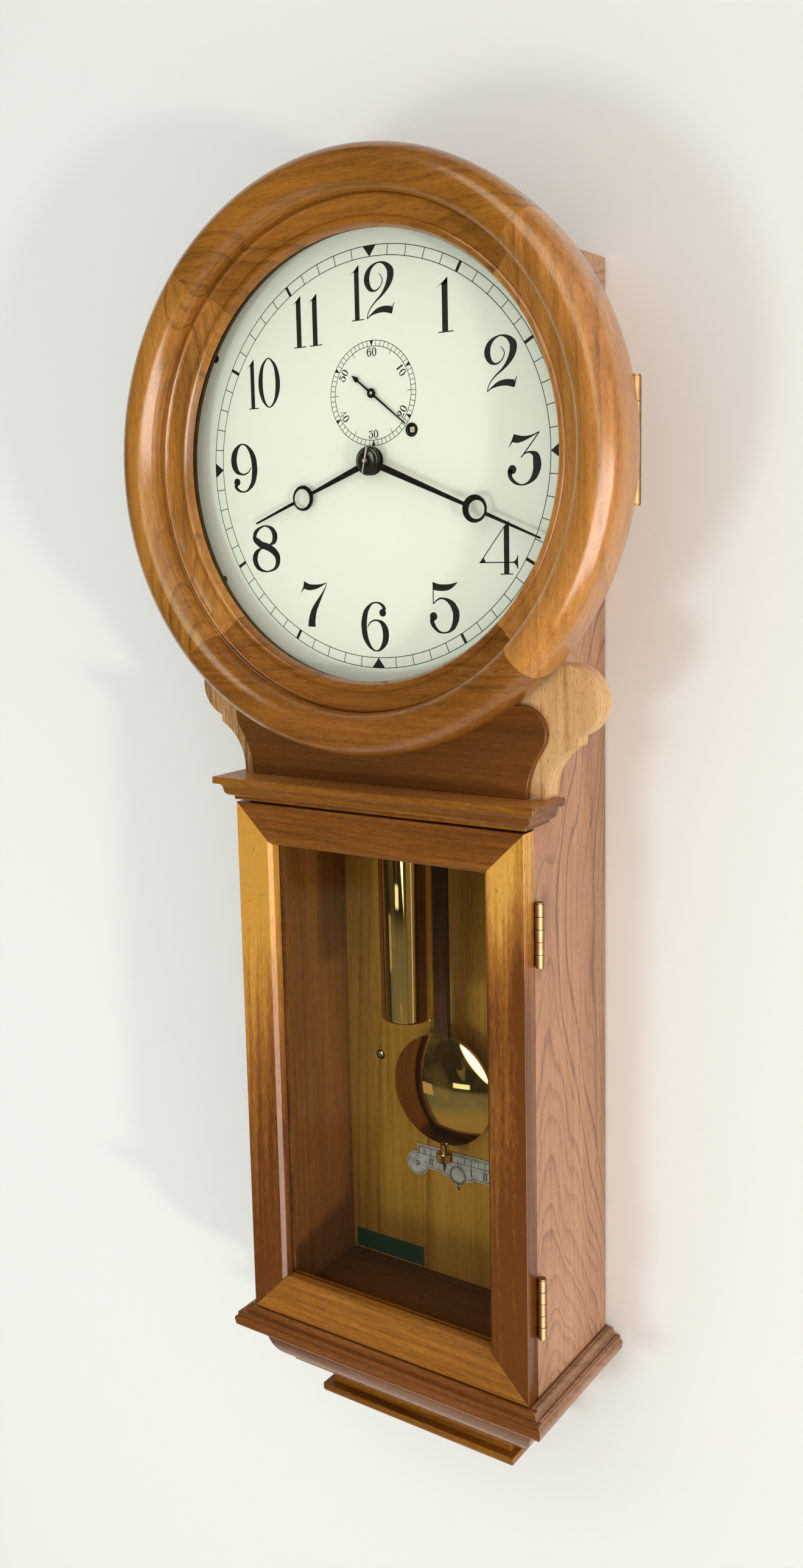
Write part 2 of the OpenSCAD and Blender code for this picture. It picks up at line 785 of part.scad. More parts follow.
// A hook on the side board: it drops over the pin in the door's edge and lifts to free it.
module door_catch() {
    reach = door_pin_d - catch_d;
    grip = hook_pin_r + part_gap;
    eye = 4.2;
    color("goldenrod") hung() difference() {
        translate([-case_half - part_gap, -catch_d, catch_z]) rotate([90, 0, -90]) linear_extrude(hook_t)
            union() {
                circle(r = eye);
                polygon([[0, eye], [0, 0.5], [reach - 4, grip], [reach + grip, grip], [reach + grip, -2.4],
                    [reach + grip + 2.4, -2.4], [reach + grip + 3, 1], [reach + grip + 1, 4.6],
                    [reach, 5.2]]);
            }
        side_pin(catch_d, hook_pin_r + run_gap, -1, 9);
    }
}

module catch_stud() {
    head = part_gap + hook_t + 0.3;
    color("silver") hung() union() {
        side_pin(catch_d, hook_pin_r, 0, head + 0.1);
        side_pin(catch_d, 2.8, head, head + 0.8);
    }
}

// The moulded face of the bezel as [radius, depth]: lip, bead, band, small bead, half round, back.
function bezel_profile() =
    let (lip = bezel_open_r, back = bezel_back_d)
    concat(
        [[lip + 5, back], [lip + 5, back + 15], [lip, back + 15], [lip, back + 15.4],
            [lip + 1.5, back + 19.3]],
        arc(lip + 4.8, back + 19.2, 3.2, 2.9, 165, 28, 6),
        [[lip + 8.1, back + 20.6], [lip + 12.7, back + 23], [lip + 17.2, back + 23.8]],
        arc(lip + 19.3, back + 24.2, 1.9, 1.9, 165, 20, 5),
        arc(torus_x, torus_d, torus_r, torus_r, 203, 0, 20),
        [[torus_x + torus_r - 0.4, back + 20], [torus_x + torus_r - 1.8, back + 9], [bezel_r, back]]
    );

// Four quarter segments with glued joints on the diagonals.
module bezel_ring() {
    color("sienna") hung() difference() {
        turned() polygon(bezel_profile());
        for (a = [45, 135]) rotate([0, a, 0])
            translate([-big / 2, -bezel_back_d - big / 2, -seam / 2]) cube([big, big, seam]);
    }
}

module bezel_glass() {
    pane_r = bezel_open_r + 4.5;
    color("lightblue", 0.4) hung() turned() polygon([
        [0, glass_d], [pane_r, glass_d], [pane_r, glass_d + glass_t], [0, glass_d + glass_t]
    ]);
}

module bezel_glass_ring() {
    color("goldenrod") hung() turned() polygon([
        [bezel_open_r + 1, glass_d - 3], [bezel_open_r + 4.9, glass_d - 3],
        [bezel_open_r + 4.9, glass_d], [bezel_open_r + 1, glass_d]
    ]);
}

module bezel_hinge_flap() {
    color("darkgoldenrod") hung() half_hinge(bezel_axis_x - 21, bezel_axis_x, bezel_back_d - leaf_t,
        bezel_axis_d, bezel_hinge_foot, bezel_hinge_l, bezel_barrel_r, door_pin_r + run_gap, 0);
}

module gear(x, z, phase, d, t, n, m, rim = 2.4, spokes = 5, bore = 0.9) {
    translate([x, 0, z]) rotate([0, -phase, 0]) upright(d, t)
        wheel_2d(gear_points(n, m), m * (n / 2 - 1.15) - rim, 4.5, bore, spokes, 3.2);
}

module pinion(x, z, phase, d, t, n, m) {
    translate([x, 0, z]) rotate([0, -phase, 0]) upright(d, t) polygon(gear_points(n, m));
}

// The pin through the end of the centre arbor that holds the minute hand on.
module taper_pin(r, l) {
    translate([0, -minute_hand_d - 5.2, 0]) rotate([0, 13.5, 0]) cylinder(r = r, h = l, center = true);
}

module centre_wheel() {
    color("gold") hung() difference() {
        union() {
            gear(0, 0, centre_phase, front_inner_d - 3, 2, centre_teeth, train_module);
            pinion(0, 0, centre_pinion_phase, back_plate_d + 4, 5, centre_leaves, great_module);
            bar_out(0, 0, arbor_r, back_plate_d + plate_t + 0.4, front_inner_d - 0.4);
            bar_out(0, 0, pivot_r, back_plate_d - 0.5, front_inner_d);
            bar_out(0, 0, centre_arbor_r, front_inner_d - 1, minute_hand_d + 6);
        }
        taper_pin(0.5 + run_gap, 10);
    }
}

module cannon_pinion() {
    color("goldenrod") hung() difference() {
        union() {
            pinion(0, 0, -90, front_plate_d + 1.5, 4, cannon_leaves, cannon_module);
            bar_out(0, 0, cannon_r, front_plate_d + 0.6, minute_hand_d);
        }
        bar_out(0, 0, centre_arbor_r, front_plate_d, minute_hand_d + 1);
    }
}

// A straight taper from width w0 at height z0 to width w1 at height z1.
module tapered(w0, w1, z0, z1) {
    polygon([[-w0 / 2, z0], [w0 / 2, z0], [w1 / 2, z1], [-w1 / 2, z1]]);
}

// A hand pointing up: hub, tapered stem, open ring and slender tip.
module hand_2d(l, ring_z, ring_r, hole_r, hole_shift, root_w, stem_w, tip_w) {
    difference() {
        union() {
            circle(r = hub_r);
            tapered(root_w, stem_w, 0, ring_z - ring_r + 1);
            translate([0, ring_z]) circle(r = ring_r);
            tapered(stem_w, tip_w, ring_z + ring_r - 1, l);
        }
        translate([0, ring_z + hole_shift]) circle(r = hole_r);
    }
}

module minute_hand() {
    color("black") hung() rotate([0, minute_angle, 0]) upright(minute_hand_d, hand_t) difference() {
        hand_2d(minute_hand_l, 92, 9.3, 6.2, 1.6, 5.2, 2.6, 1.4);
        circle(r = centre_arbor_r);
    }
}

module hand_cap() {
    cap_d = minute_hand_d + hand_t;
    color("black") hung() difference() {
        turned() polygon(concat([[0, cap_d]], arc(0, cap_d, hub_r - 0.6, 3.6, 0, 90, 8)));
        bar_out(0, 0, centre_arbor_r, cap_d - 1, cap_d + 5);
    }
    color("silver") hung() taper_pin(0.5, 18.6);
}

module hour_wheel() {
    color("gold") hung() difference() {
        union() {
            gear(0, 0, hour_wheel_phase, front_plate_d + 8, 1.5, hour_teeth, hour_module, 2, 4, 0);
            bar_out(0, 0, hour_pipe_r + 1.4, front_plate_d + 7, front_plate_d + 11);
            bar_out(0, 0, hour_pipe_r, front_plate_d + 7, hour_hand_d);
        }
        bar_out(0, 0, cannon_r + run_gap, front_plate_d, hour_hand_d + 1);
    }
}

module hour_hand() {
    color("black") hung() rotate([0, hour_angle, 0]) upright(hour_hand_d, hand_t) difference() {
        hand_2d(hour_hand_l, 65, 9.1, 6.9, 1, 5, 2.4, 1.4);
        circle(r = cannon_r + run_gap);
    }
}

module minute_wheel() {
    color("gold") hung() difference() {
        union() {
            gear(0, -motion_dist, minute_wheel_phase, front_plate_d + 2.4, 1.6, minute_teeth,
                cannon_module, 2, 4, 0);
            pinion(0, -motion_dist, 90, front_plate_d + 4 - eps, 6, minute_leaves, hour_module);
        }
        bar_out(0, -motion_dist, 1.5 + run_gap, front_plate_d, front_plate_d + 12);
    }
}

module third_wheel() {
    color("gold") hung() union() {
        gear(third_x, third_z, to_escape, line_d, 2, third_teeth, train_module);
        pinion(third_x, third_z, third_pinion_phase, front_inner_d - 3.8, 3.4, fine_leaves, train_module);
        bar_out(third_x, third_z, 1.6, back_plate_d + plate_t + 0.4, front_inner_d - 0.4);
        bar_out(third_x, third_z, pivot_r, back_plate_d - 0.5, front_plate_d + 0.3);
    }
}

function escape_points() = let (step = 360 / escape_teeth) [
    for (i = [0 : escape_teeth - 1], k = [0 : 2])
        let (r = k == 0 ? escape_r - 3 : escape_r)
        let (a = (i + [0, 0.42, 0.5][k]) * step)
        [r * cos(a), r * sin(a)]
];

module escape_wheel() {
    color("gold") hung() union() {
        translate([0, 0, seconds_rise]) upright(line_d - 8, 2)
            wheel_2d(escape_points(), escape_r - 5, 4, 0.9, 5, 2.4);
        pinion(0, seconds_rise, escape_pinion_phase, line_d - 1.5, 5, fine_leaves, train_module);
        bar_out(0, seconds_rise, 1.6, back_plate_d + plate_t + 0.4, front_inner_d - 0.4);
        bar_out(0, seconds_rise, pivot_r, back_plate_d - 0.5, seconds_hand_d + 0.4);
    }
}

module seconds_hand() {
    color("black") hung() translate([0, 0, seconds_rise]) rotate([0, seconds_angle, 0]) difference() {
        union() {
            upright(seconds_hand_d, 0.6) circle(r = 3);
            upright(seconds_hand_d, 0.6) tapered(1.4, 0.5, 1.5, seconds_hand_l);
            upright(seconds_hand_d, 0.6)
                polygon([[-0.8, -1.5], [-2.2, -9], [0, -13], [2.2, -9], [0.8, -1.5]]);
        }
        bar_out(0, 0, pivot_r, dial_d, dial_d + 5);
    }
}

click_x = 25;
click_angle = to_centre + 3 * 72 - 90;

module great_wheel() {
    color("gold") hung() difference() {
        union() {
            gear(winding_x, winding_z, to_centre, back_plate_d + 5.5, 2.5, great_teeth,
                great_module, 3, 5, 0);
            bar_out(winding_x, winding_z, 6, back_plate_d + 3, back_plate_d + 8.4);
            translate([winding_x, 0, winding_z]) rotate([0, -click_angle, 0]) {
                bar_out(0, click_x, 1.5, back_plate_d + 5.5, back_plate_d + 11);
                bar_out(0, click_x, 3.4, back_plate_d + 5.5, back_plate_d + 8);
            }
        }
        bar_out(winding_x, winding_z, winding_arbor_r + run_gap, back_plate_d, back_plate_d + 12);
    }
}

ratchet_teeth = 24;
ratchet_r = 19;

function ratchet_points() = let (step = 360 / ratchet_teeth) [
    for (i = [0 : ratchet_teeth - 1], k = [0 : 1])
        let (r = k == 0 ? ratchet_r - 2.4 : ratchet_r)
        [r * cos((i + k * 0.08) * step), r * sin((i + k * 0.08) * step)]
];

module click() {
    color("silver") hung() translate([winding_x, 0, winding_z]) rotate([0, -click_angle, 0]) difference() {
        union() {
            bar_out(0, click_x, 3.6, back_plate_d + 8.3, back_plate_d + 10.5);
            upright(back_plate_d + 8.3, 2.2)
                polygon([[0.5, click_x - 3.4], [3.2, click_x + 0.5], [10.5, ratchet_r - 0.6],
                    [9.4, ratchet_r - 2]]);
        }
        bar_out(0, click_x, 1.5 + run_gap, back_plate_d, back_plate_d + 12);
    }
}

// Barrel with flanges, ratchet and winding square on one arbor.
module winding_drum() {
    flange_r = ratchet_r - 0.5;
    color("gold") hung() union() {
        translate([winding_x, 0, winding_z]) upright(back_plate_d + 8.5, 2) polygon(ratchet_points());
        turned(winding_x, winding_z) polygon([
            [0, back_plate_d + 10.4], [flange_r, back_plate_d + 10.4], [flange_r, back_plate_d + 12],
            [drum_r, back_plate_d + 12], [drum_r, front_inner_d - 5.4], [flange_r, front_inner_d - 5.4],
            [flange_r, front_inner_d - 3.8], [0, front_inner_d - 3.8]
        ]);
        bar_out(winding_x, winding_z, winding_arbor_r, back_plate_d + plate_t + 0.4, front_plate_d + 1);
        bar_out(winding_x, winding_z, pivot_r, back_plate_d - 0.5, back_plate_d + 4);
        upright(front_plate_d, dial_d - 1.5 - front_plate_d)
            translate([winding_x, winding_z]) square(3.6, center = true);
    }
}

module pallets() {
    fork_half = rod_w / 2 + part_gap;
    fork_z = -34;
    nib_r = escape_r + 1.2;
    nib = [nib_r * sin(44), seconds_rise + nib_r * cos(44)];
    half = [
        [0, suspension_rise + 4], [4, suspension_rise + 3.6], [17.5, nib[1] + 4.8],
        [16.8, nib[1] + 2.3], nib, [11.8, nib[1] + 2.8],
        [4, suspension_rise - 3.2], [0, suspension_rise - 3.8]
    ];
    color("silver") hung() union() {
        upright(line_d - 8.5, 3) difference() {
            polygon(concat(half, flip(half)));
            translate([0, suspension_rise]) circle(r = 0.9);
        }
        bar_out(0, suspension_rise, 1.5, back_plate_d + plate_t + 0.4, front_inner_d - 0.4);
        bar_out(0, suspension_rise, pivot_r, cock_back_d + 0.4, front_plate_d - 0.2);
        bar_out(0, suspension_rise, 3, back_plate_d - 7, back_plate_d + plate_t + 1);
        upright(back_plate_d - 6, 2) translate([-1.5, fork_z]) square([3, suspension_rise - fork_z]);
        difference() {
            translate([-fork_half - 2, -back_plate_d + 4, fork_z - 6])
                cube([2 * fork_half + 4, back_plate_d - 4 - rod_d + rod_t / 2 + 2, 6]);
            translate([-fork_half, -rod_d - rod_t / 2 - part_gap, fork_z - 7])
                cube([2 * fork_half, 3 * rod_t, 8]);
        }
    }
}

rod_top = 40;

// Top pin, ribbon and lower chops of the suspension.
module suspension_spring() {
    color("silver") hung() union() {
        bar_out(0, suspension_rise, 1.5, rod_d - 6.6, rod_d + 6.6);
        upright(rod_d - 2.5, 5) translate([-0.6, rod_top + 9]) square([1.2, suspension_rise - rod_top - 9]);
        upright(rod_d - 2.5, 5) translate([-4, rod_top]) square([8, 9 + eps]);
    }
}

module pendulum_rod() {
    screw_top = nut_top - 20;
    color("sienna") hung() translate([-rod_w / 2, -rod_d - rod_t / 2, -screw_top])
        cube([rod_w, rod_t, rod_top + screw_top]);
    color("silver") hung() translate([0, -rod_d, 0]) rotate_extrude() polygon([
        [0, -screw_top - seam], [1.5, -screw_top - seam], [1.5, -nut_top - 18], [0, -nut_top - 25]
    ]);
}

// The slot for the rod and the bore for its rating screw.
module rod_slot() {
    fit = 0.2;
    translate([-rod_w / 2 - fit, -rod_d - rod_t / 2 - fit, -big])
        cube([rod_w + 2 * fit, rod_t + 2 * fit, big]);
    translate([0, -rod_d, -big]) cylinder(r = 2, h = big);
}

module pendulum_bob() {
    rim = 3;
    sag = bob_bulge - rim / 2;
    dome = [for (i = [0 : 10]) let (r = bob_r * (1 - i / 10))
        [r, rod_d + rim / 2 + sag * (1 - pow(r / bob_r, 2))]];
    for (face = [0, 1]) color("gold") hung() difference() {
        mirror([0, face, 0]) translate([0, 2 * face * rod_d, 0]) turned(0, -bob_drop)
            polygon(concat([[bob_r, rod_d]], dome, [[0, rod_d]]));
        rod_slot();
    }
}

module rating_nut() {
    color("gold") hung() translate([0, -rod_d, -nut_top]) difference() {
        rotate_extrude()
            polygon([[0, 0], [3.6, 0], [3.6, -7], [6.5, -7.6], [6.5, -14.4], [5.6, -15], [0, -15]]);
        translate([0, 0, -16]) cylinder(r = 1.5 + run_gap, h = 17);
    }
}

module weight_shell() {
    lid = 1.2;
    color("gold") hung() translate([0, -line_d, -weight_foot]) rotate_extrude() polygon([
        [0, 0], [weight_r - 2.5, 0], [weight_r - 0.4, 1.2], [weight_r, 3], [weight_r, weight_l - 3],
        [weight_r - 0.4, weight_l - 1.2], [weight_r - 2.5, weight_l], [5, weight_l],
        [5, weight_l + lid], [0, weight_l + lid]
    ]);
}

module weight_pulley() {
    rim = line_x + 1.4;
    groove = line_x - line_r - 0.05;
    half = pulley_w / 2;
    color("gold") hung() difference() {
        turned(0, pulley_z) polygon([
            [0, line_d - half], [rim, line_d - half], [rim, line_d - half + 1], [groove, line_d - 1],
            [groove, line_d + 1], [rim, line_d + half - 1], [rim, line_d + half], [0, line_d + half]
        ]);
        bar_out(0, pulley_z, 1.5 + run_gap, line_d - 10, line_d + 10);
    }
}

module weight_stirrup() {
    cheek_d = pulley_w / 2 + part_gap;
    foot = -weight_top + 1.2;
    color("gold") hung() union() {
        for (d = [line_d - cheek_d - 1.5, line_d + cheek_d]) upright(d, 1.5)
            translate([-4, foot]) square([8, pulley_z + 5 - foot]);
        upright(line_d - cheek_d - 1.5, 2 * cheek_d + 3) translate([-4, foot]) square([8, 4]);
        bar_out(0, pulley_z, 1.5, line_d - cheek_d - 2, line_d + cheek_d + 2);
    }
}

module line_bight() {
    color("dimgray") hung() intersection() {
        turned(0, pulley_z) translate([line_x, line_d]) circle(r = line_r, $fn = 24);
        translate([-big / 2, -big / 2, pulley_z - big / 2]) cube([big, big, big / 2]);
    }
}

backboard();
side_left();
side_right();
case_top();
case_floor();
head_board();
apron_board();
cornice();
base_moulding();
base_tier();
base_drop();
seat_board();
beat_plate();
dial_plate();
dial_screws();
winding_ferrule();
hinge_leaves();
hinge_pins();
front_plate();
back_plate();
plate_pillars();
suspension_cock();
line_hook();
line_drum_run();
line_hook_run();
door_stile_left();
door_stile_right();
door_rail_top();
door_rail_bottom();
door_glass();
glass_beads();
door_fittings();
door_catch();
catch_stud();
bezel_ring();
bezel_glass();
bezel_glass_ring();
bezel_hinge_flap();
centre_wheel();
cannon_pinion();
minute_hand();
hand_cap();
hour_wheel();
hour_hand();
minute_wheel();
third_wheel();
escape_wheel();
seconds_hand();
great_wheel();
click();
winding_drum();
pallets();
suspension_spring();
pendulum_rod();
pendulum_bob();
rating_nut();
weight_shell();
weight_pulley();
weight_stirrup();
line_bight();
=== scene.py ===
import math

import bmesh
import bpy
from mathutils import Matrix, Vector
from mathutils.geometry import interpolate_bezier


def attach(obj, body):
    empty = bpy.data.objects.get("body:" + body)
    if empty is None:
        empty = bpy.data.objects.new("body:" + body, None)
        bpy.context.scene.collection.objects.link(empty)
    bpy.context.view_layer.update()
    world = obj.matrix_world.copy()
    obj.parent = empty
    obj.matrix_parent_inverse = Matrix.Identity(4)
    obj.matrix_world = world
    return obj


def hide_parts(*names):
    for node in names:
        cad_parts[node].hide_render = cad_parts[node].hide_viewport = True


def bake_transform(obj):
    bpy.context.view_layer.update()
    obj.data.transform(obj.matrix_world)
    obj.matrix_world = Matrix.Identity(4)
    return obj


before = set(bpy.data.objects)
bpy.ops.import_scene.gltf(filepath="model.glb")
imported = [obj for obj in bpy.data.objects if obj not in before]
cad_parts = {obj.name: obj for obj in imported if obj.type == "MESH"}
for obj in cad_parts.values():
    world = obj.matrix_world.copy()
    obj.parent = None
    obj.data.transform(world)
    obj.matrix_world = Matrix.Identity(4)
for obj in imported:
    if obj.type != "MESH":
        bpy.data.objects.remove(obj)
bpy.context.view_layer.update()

MM = 0.001
DIAL_BELOW_HOOK = 112


def at(x, out, z):
    """A point in millimetres: x across, out from the wall, z above the dial's centre."""
    return Vector((x, -out, z - DIAL_BELOW_HOOK)) * MM


yaw, pitch, roll = (math.radians(a) for a in (35.36, -8.245, -1.494))
ahead = Vector((-math.sin(yaw) * math.cos(pitch), math.cos(yaw) * math.cos(pitch), math.sin(pitch)))
level = Vector((math.cos(yaw), math.sin(yaw), 0))
plumb = level.cross(ahead)
right = level * math.cos(roll) + plumb * math.sin(roll)
up = plumb * math.cos(roll) - level * math.sin(roll)
lens = bpy.data.cameras.new("camera")
lens.sensor_fit = "VERTICAL"
lens.sensor_height = 36
lens.lens = 32.17
lens.shift_x = 0.0292
lens.shift_y = -0.0307
lens.clip_start = 0.05
camera = bpy.data.objects.new("camera", lens)
stand = Matrix.Translation((0.5624, -0.9334, -0.1612))
camera.matrix_world = stand @ Matrix((right, up, -ahead)).transposed().to_4x4()
scene = bpy.context.scene
scene.collection.objects.link(camera)
scene.camera = camera
scene.view_settings.view_transform = "Standard"


# The white wall the clock hangs on, the pale floor below and the soft lamps that light them.
# None of them is part of the clock.
class Wire:
    """One shader socket. A sum written with wires adds the Math nodes that it needs."""

    def __init__(self, finish, socket):
        self.finish = finish
        self.socket = socket

    def math(self, operation, *values):
        return self.finish.node("Math", {"operation": operation}, dict(enumerate(values)))

    def __add__(self, other):
        return self.math("ADD", self, other)

    def __mul__(self, other):
        return self.math("MULTIPLY", self, other)

    def __sub__(self, other):
        return self.math("SUBTRACT", self, other)

    def __rsub__(self, other):
        return self.math("SUBTRACT", other, self)

    __radd__ = __add__
    __rmul__ = __mul__

    def rise(self, low, high):
        """0 up to low, 1 from high on, and smooth between."""
        return self.finish.node("MapRange", {"interpolation_type": "SMOOTHSTEP"}, {0: self, 1: low, 2: high})

    def within(self, low, high, soft):
        """1 between low and high, fading to 0 over soft on both sides."""
        return self.rise(low - soft, low) * (1 - self.rise(high, high + soft))


class Finish:
    """The shader nodes of a material or of the room. place is the point on the piece, in metres."""

    def __init__(self, owner, place="Object"):
        owner.use_nodes = True
        self.owner = owner
        self.tree = owner.node_tree
        self.tree.nodes.clear()
        self.place = self.node("TexCoord", out=place)

    def node(self, kind, settings=None, inputs=None, out=0):
        made = self.tree.nodes.new("ShaderNode" + kind)
        for key, value in (settings or {}).items():
            if key == "stops":
                while len(made.color_ramp.elements) < len(value):
                    made.color_ramp.elements.new(1)
                for stop, (position, colour) in zip(made.color_ramp.elements, value):
                    stop.position = position
                    stop.color = colour
            else:
                setattr(made, key, value)
        for key, value in (inputs or {}).items():
            if isinstance(value, Wire):
                self.tree.links.new(value.socket, made.inputs[key])
            else:
                made.inputs[key].default_value = value
        return Wire(self, made.outputs[out]) if made.outputs else None

    def placed(self, scale, turn=(0, 0, 0), shift=(0, 0, 0), point=None):
        return self.node("Mapping", {}, {
            "Vector": point or self.place, "Scale": scale, "Rotation": turn, "Location": shift})

    def noise(self, point, scale=1, detail=3, rough=0.5, out=0):
        return self.node("TexNoise", {}, {
            "Vector": point, "Scale": scale, "Detail": detail, "Roughness": rough}, out)

    def wave(self, value, detail=1):
        """A number that wanders about 0.5 as value grows."""
        return self.node("TexNoise", {"noise_dimensions": "1D"}, {"W": value, "Scale": 1, "Detail": detail})

    def mix(self, share, a, b, how="MIX"):
        return self.node("Mix", {"data_type": "RGBA", "blend_type": how}, {0: share, 6: a, 7: b}, 2)

    def bump(self, height, depth, strength=1):
        return self.node("Bump", {}, {"Height": height, "Distance": depth, "Strength": strength})

    def shade(self, sockets):
        surface = self.node("BsdfPrincipled", {}, sockets)
        self.node("OutputMaterial", {}, {"Surface": surface})
        return self.owner


def new_finish(name):
    return Finish(bpy.data.materials.new(name))


def paint(code):
    """A colour written as on a paint card, RRGGBB, turned into the renderer's linear light."""
    parts = [int(code[i:i + 2], 16) / 255 for i in (0, 2, 4)]
    return tuple(((p + 0.055) / 1.055) ** 2.4 if p > 0.04 else p / 12.92 for p in parts) + (1,)


def sheet(name, centre, across, along, colour, mottled):
    """A flat stage sheet, seen only from the side that it faces."""
    bm = bmesh.new()
    bm.faces.new([bm.verts.new(centre + across * sx + along * sy)
                  for sx, sy in ((-1, -1), (1, -1), (1, 1), (-1, 1))])
    mesh = bpy.data.meshes.new(name)
    bm.to_mesh(mesh)
    bm.free()
    obj = bpy.data.objects.new(name, mesh)
    scene.collection.objects.link(obj)
    finish = new_finish(name)
    mottle = finish.noise(finish.place, 0.8, 2).rise(0.3, 0.7)
    tone = finish.mix(mottle, paint(colour), paint(mottled))
    plaster = finish.node("BsdfDiffuse", {}, {"Color": tone})
    behind = finish.node("NewGeometry", out="Backfacing")
    ray = finish.node("LightPath", out="Is Camera Ray")
    near = finish.node("LightPath", out="Ray Length").rise(0.006, 0.007)
    touching = (1 - ray) * (1 - near)
    clear = finish.node("BsdfTransparent")
    see_through = finish.node("Math", {"operation": "MAXIMUM"}, {0: behind, 1: touching})
    surface = finish.node("MixShader", {}, {0: see_through, 1: plaster, 2: clear})
    finish.node("OutputMaterial", {}, {"Surface": surface})
    mesh.materials.append(finish.owner)
    return obj


floor_z = -1.45
sheet("wall", Vector((0, 0.0015, floor_z + 2.5)), Vector((4, 0, 0)), Vector((0, 0, 2.5)), "e9e9e7", "edecea")
ground = sheet("floor", Vector((0, -3, floor_z)), Vector((4, 0, 0)), Vector((0, 3.0015, 0)), "dedbd5", "e3e0da")
ground.visible_glossy = False


def lamp(name, azimuth, elevation, distance, size, power, tint):
    """A round soft lamp aimed at the middle of the clock. The room stands for its reflections."""
    light = bpy.data.lights.new(name, "AREA")
    light.shape = "DISK"
    light.size = size
    light.energy = power
    light.color = tint
    obj = bpy.data.objects.new(name, light)
    obj.visible_glossy = False
    a, e = math.radians(azimuth), math.radians(elevation)
    away = Vector((math.sin(a) * math.cos(e), -math.cos(a) * math.cos(e), math.sin(e)))
    aim = at(0, 60, -250)
    facing = away.to_track_quat("Z", "Y").to_matrix().to_4x4()
    obj.matrix_world = Matrix.Translation(aim + away * distance) @ facing
    scene.collection.objects.link(obj)


lamp("front_lamp", -10, -15, 2.4, 0.45, 10.8, (0.76, 0.97, 1))
lamp("side_lamp", 62, -11, 4, 0.29, 44, (1, 0.945, 0.885))

# What the varnish, the brass and the glass mirror is a dim warm room with a rug, a doorway
# and two windows, in degrees across and up; everything else is lit by an even pale sky.
world = bpy.data.worlds.new("room")
scene.world = world
room = Finish(world, "Generated")
ways = [room.node("SeparateXYZ", {}, {0: room.place}, axis) for axis in range(3)]
azimuth = room.node("Math", {"operation": "ARCTAN2"}, {0: ways[0], 1: 0 - ways[1]}) * math.degrees(1)
elevation = room.node("Math", {"operation": "ARCSINE"}, {0: ways[2]}) * math.degrees(1)
glossy = room.node("LightPath", out="Is Glossy Ray")
behind_glass = room.node("LightPath", out="Transparent Depth").rise(0, 1)
from_right = azimuth.rise(10, 60) * (1 - azimuth.rise(110, 150))
from_above = elevation.rise(0, 60)
even = room.mix(from_right, (0.53, 0.525, 0.515, 1), (1.2, 1.15, 1.07, 1))
even = room.mix(from_above, even, (1.15, 1.14, 1.1, 1))
corner = room.noise(room.place, 2.5, 4).rise(0.4, 0.65)
seen = room.mix(corner, paint("2a2216"), paint("564a32"))
rug = azimuth.within(-40, 30, 8) * (1 - elevation.rise(-19, -13))
near = room.mix(corner, paint("766d58"), paint("8d7a56"))
seen = room.mix(rug, seen, room.mix(elevation.rise(-42, -30), (0.36, 0.23, 0.08, 1), near))
for across, upward, colour in (
        ((-46, -35, 1), (-23, -15, 1), paint("bfa878")),
        ((38, 72, 3), (-60, 10, 4), paint("8d7650")),
        ((56, 59, 1.5), (-60, 10, 4), paint("efe2c6")),
        ((-11, 2, 2), (-12.5, -9.3, 1), (1.5, 1.5, 1.2, 1))):
    seen = room.mix(azimuth.within(*across) * elevation.within(*upward), seen, colour)
window = (azimuth + elevation).rise(9, 12) * azimuth.within(-20, 22, 4) * elevation.within(-20, 50, 4)
seen = room.mix(window, seen, (4.5, 4.6, 3.7, 1))
side_window = azimuth.within(30, 100, 12) * elevation.within(-30, 0, 6) * (1 - behind_glass)
seen = room.mix(side_window, seen, (12, 12.3, 12.5, 1))
blind = azimuth.within(30, 110, 15) * elevation.within(5, 50, 10) * (1 - behind_glass)
seen = room.mix(blind, seen, (1.7, 1.65, 1.55, 1))
below = (1 - elevation.rise(-62, -45)) * (1 - behind_glass)
seen = room.mix(below, seen, (1.1, 1.04, 0.96, 1))
glow = room.node("Background", {}, {"Color": room.mix(glossy, even, seen), "Strength": 1.0})
room.node("OutputWorld", {}, {"Surface": glow})


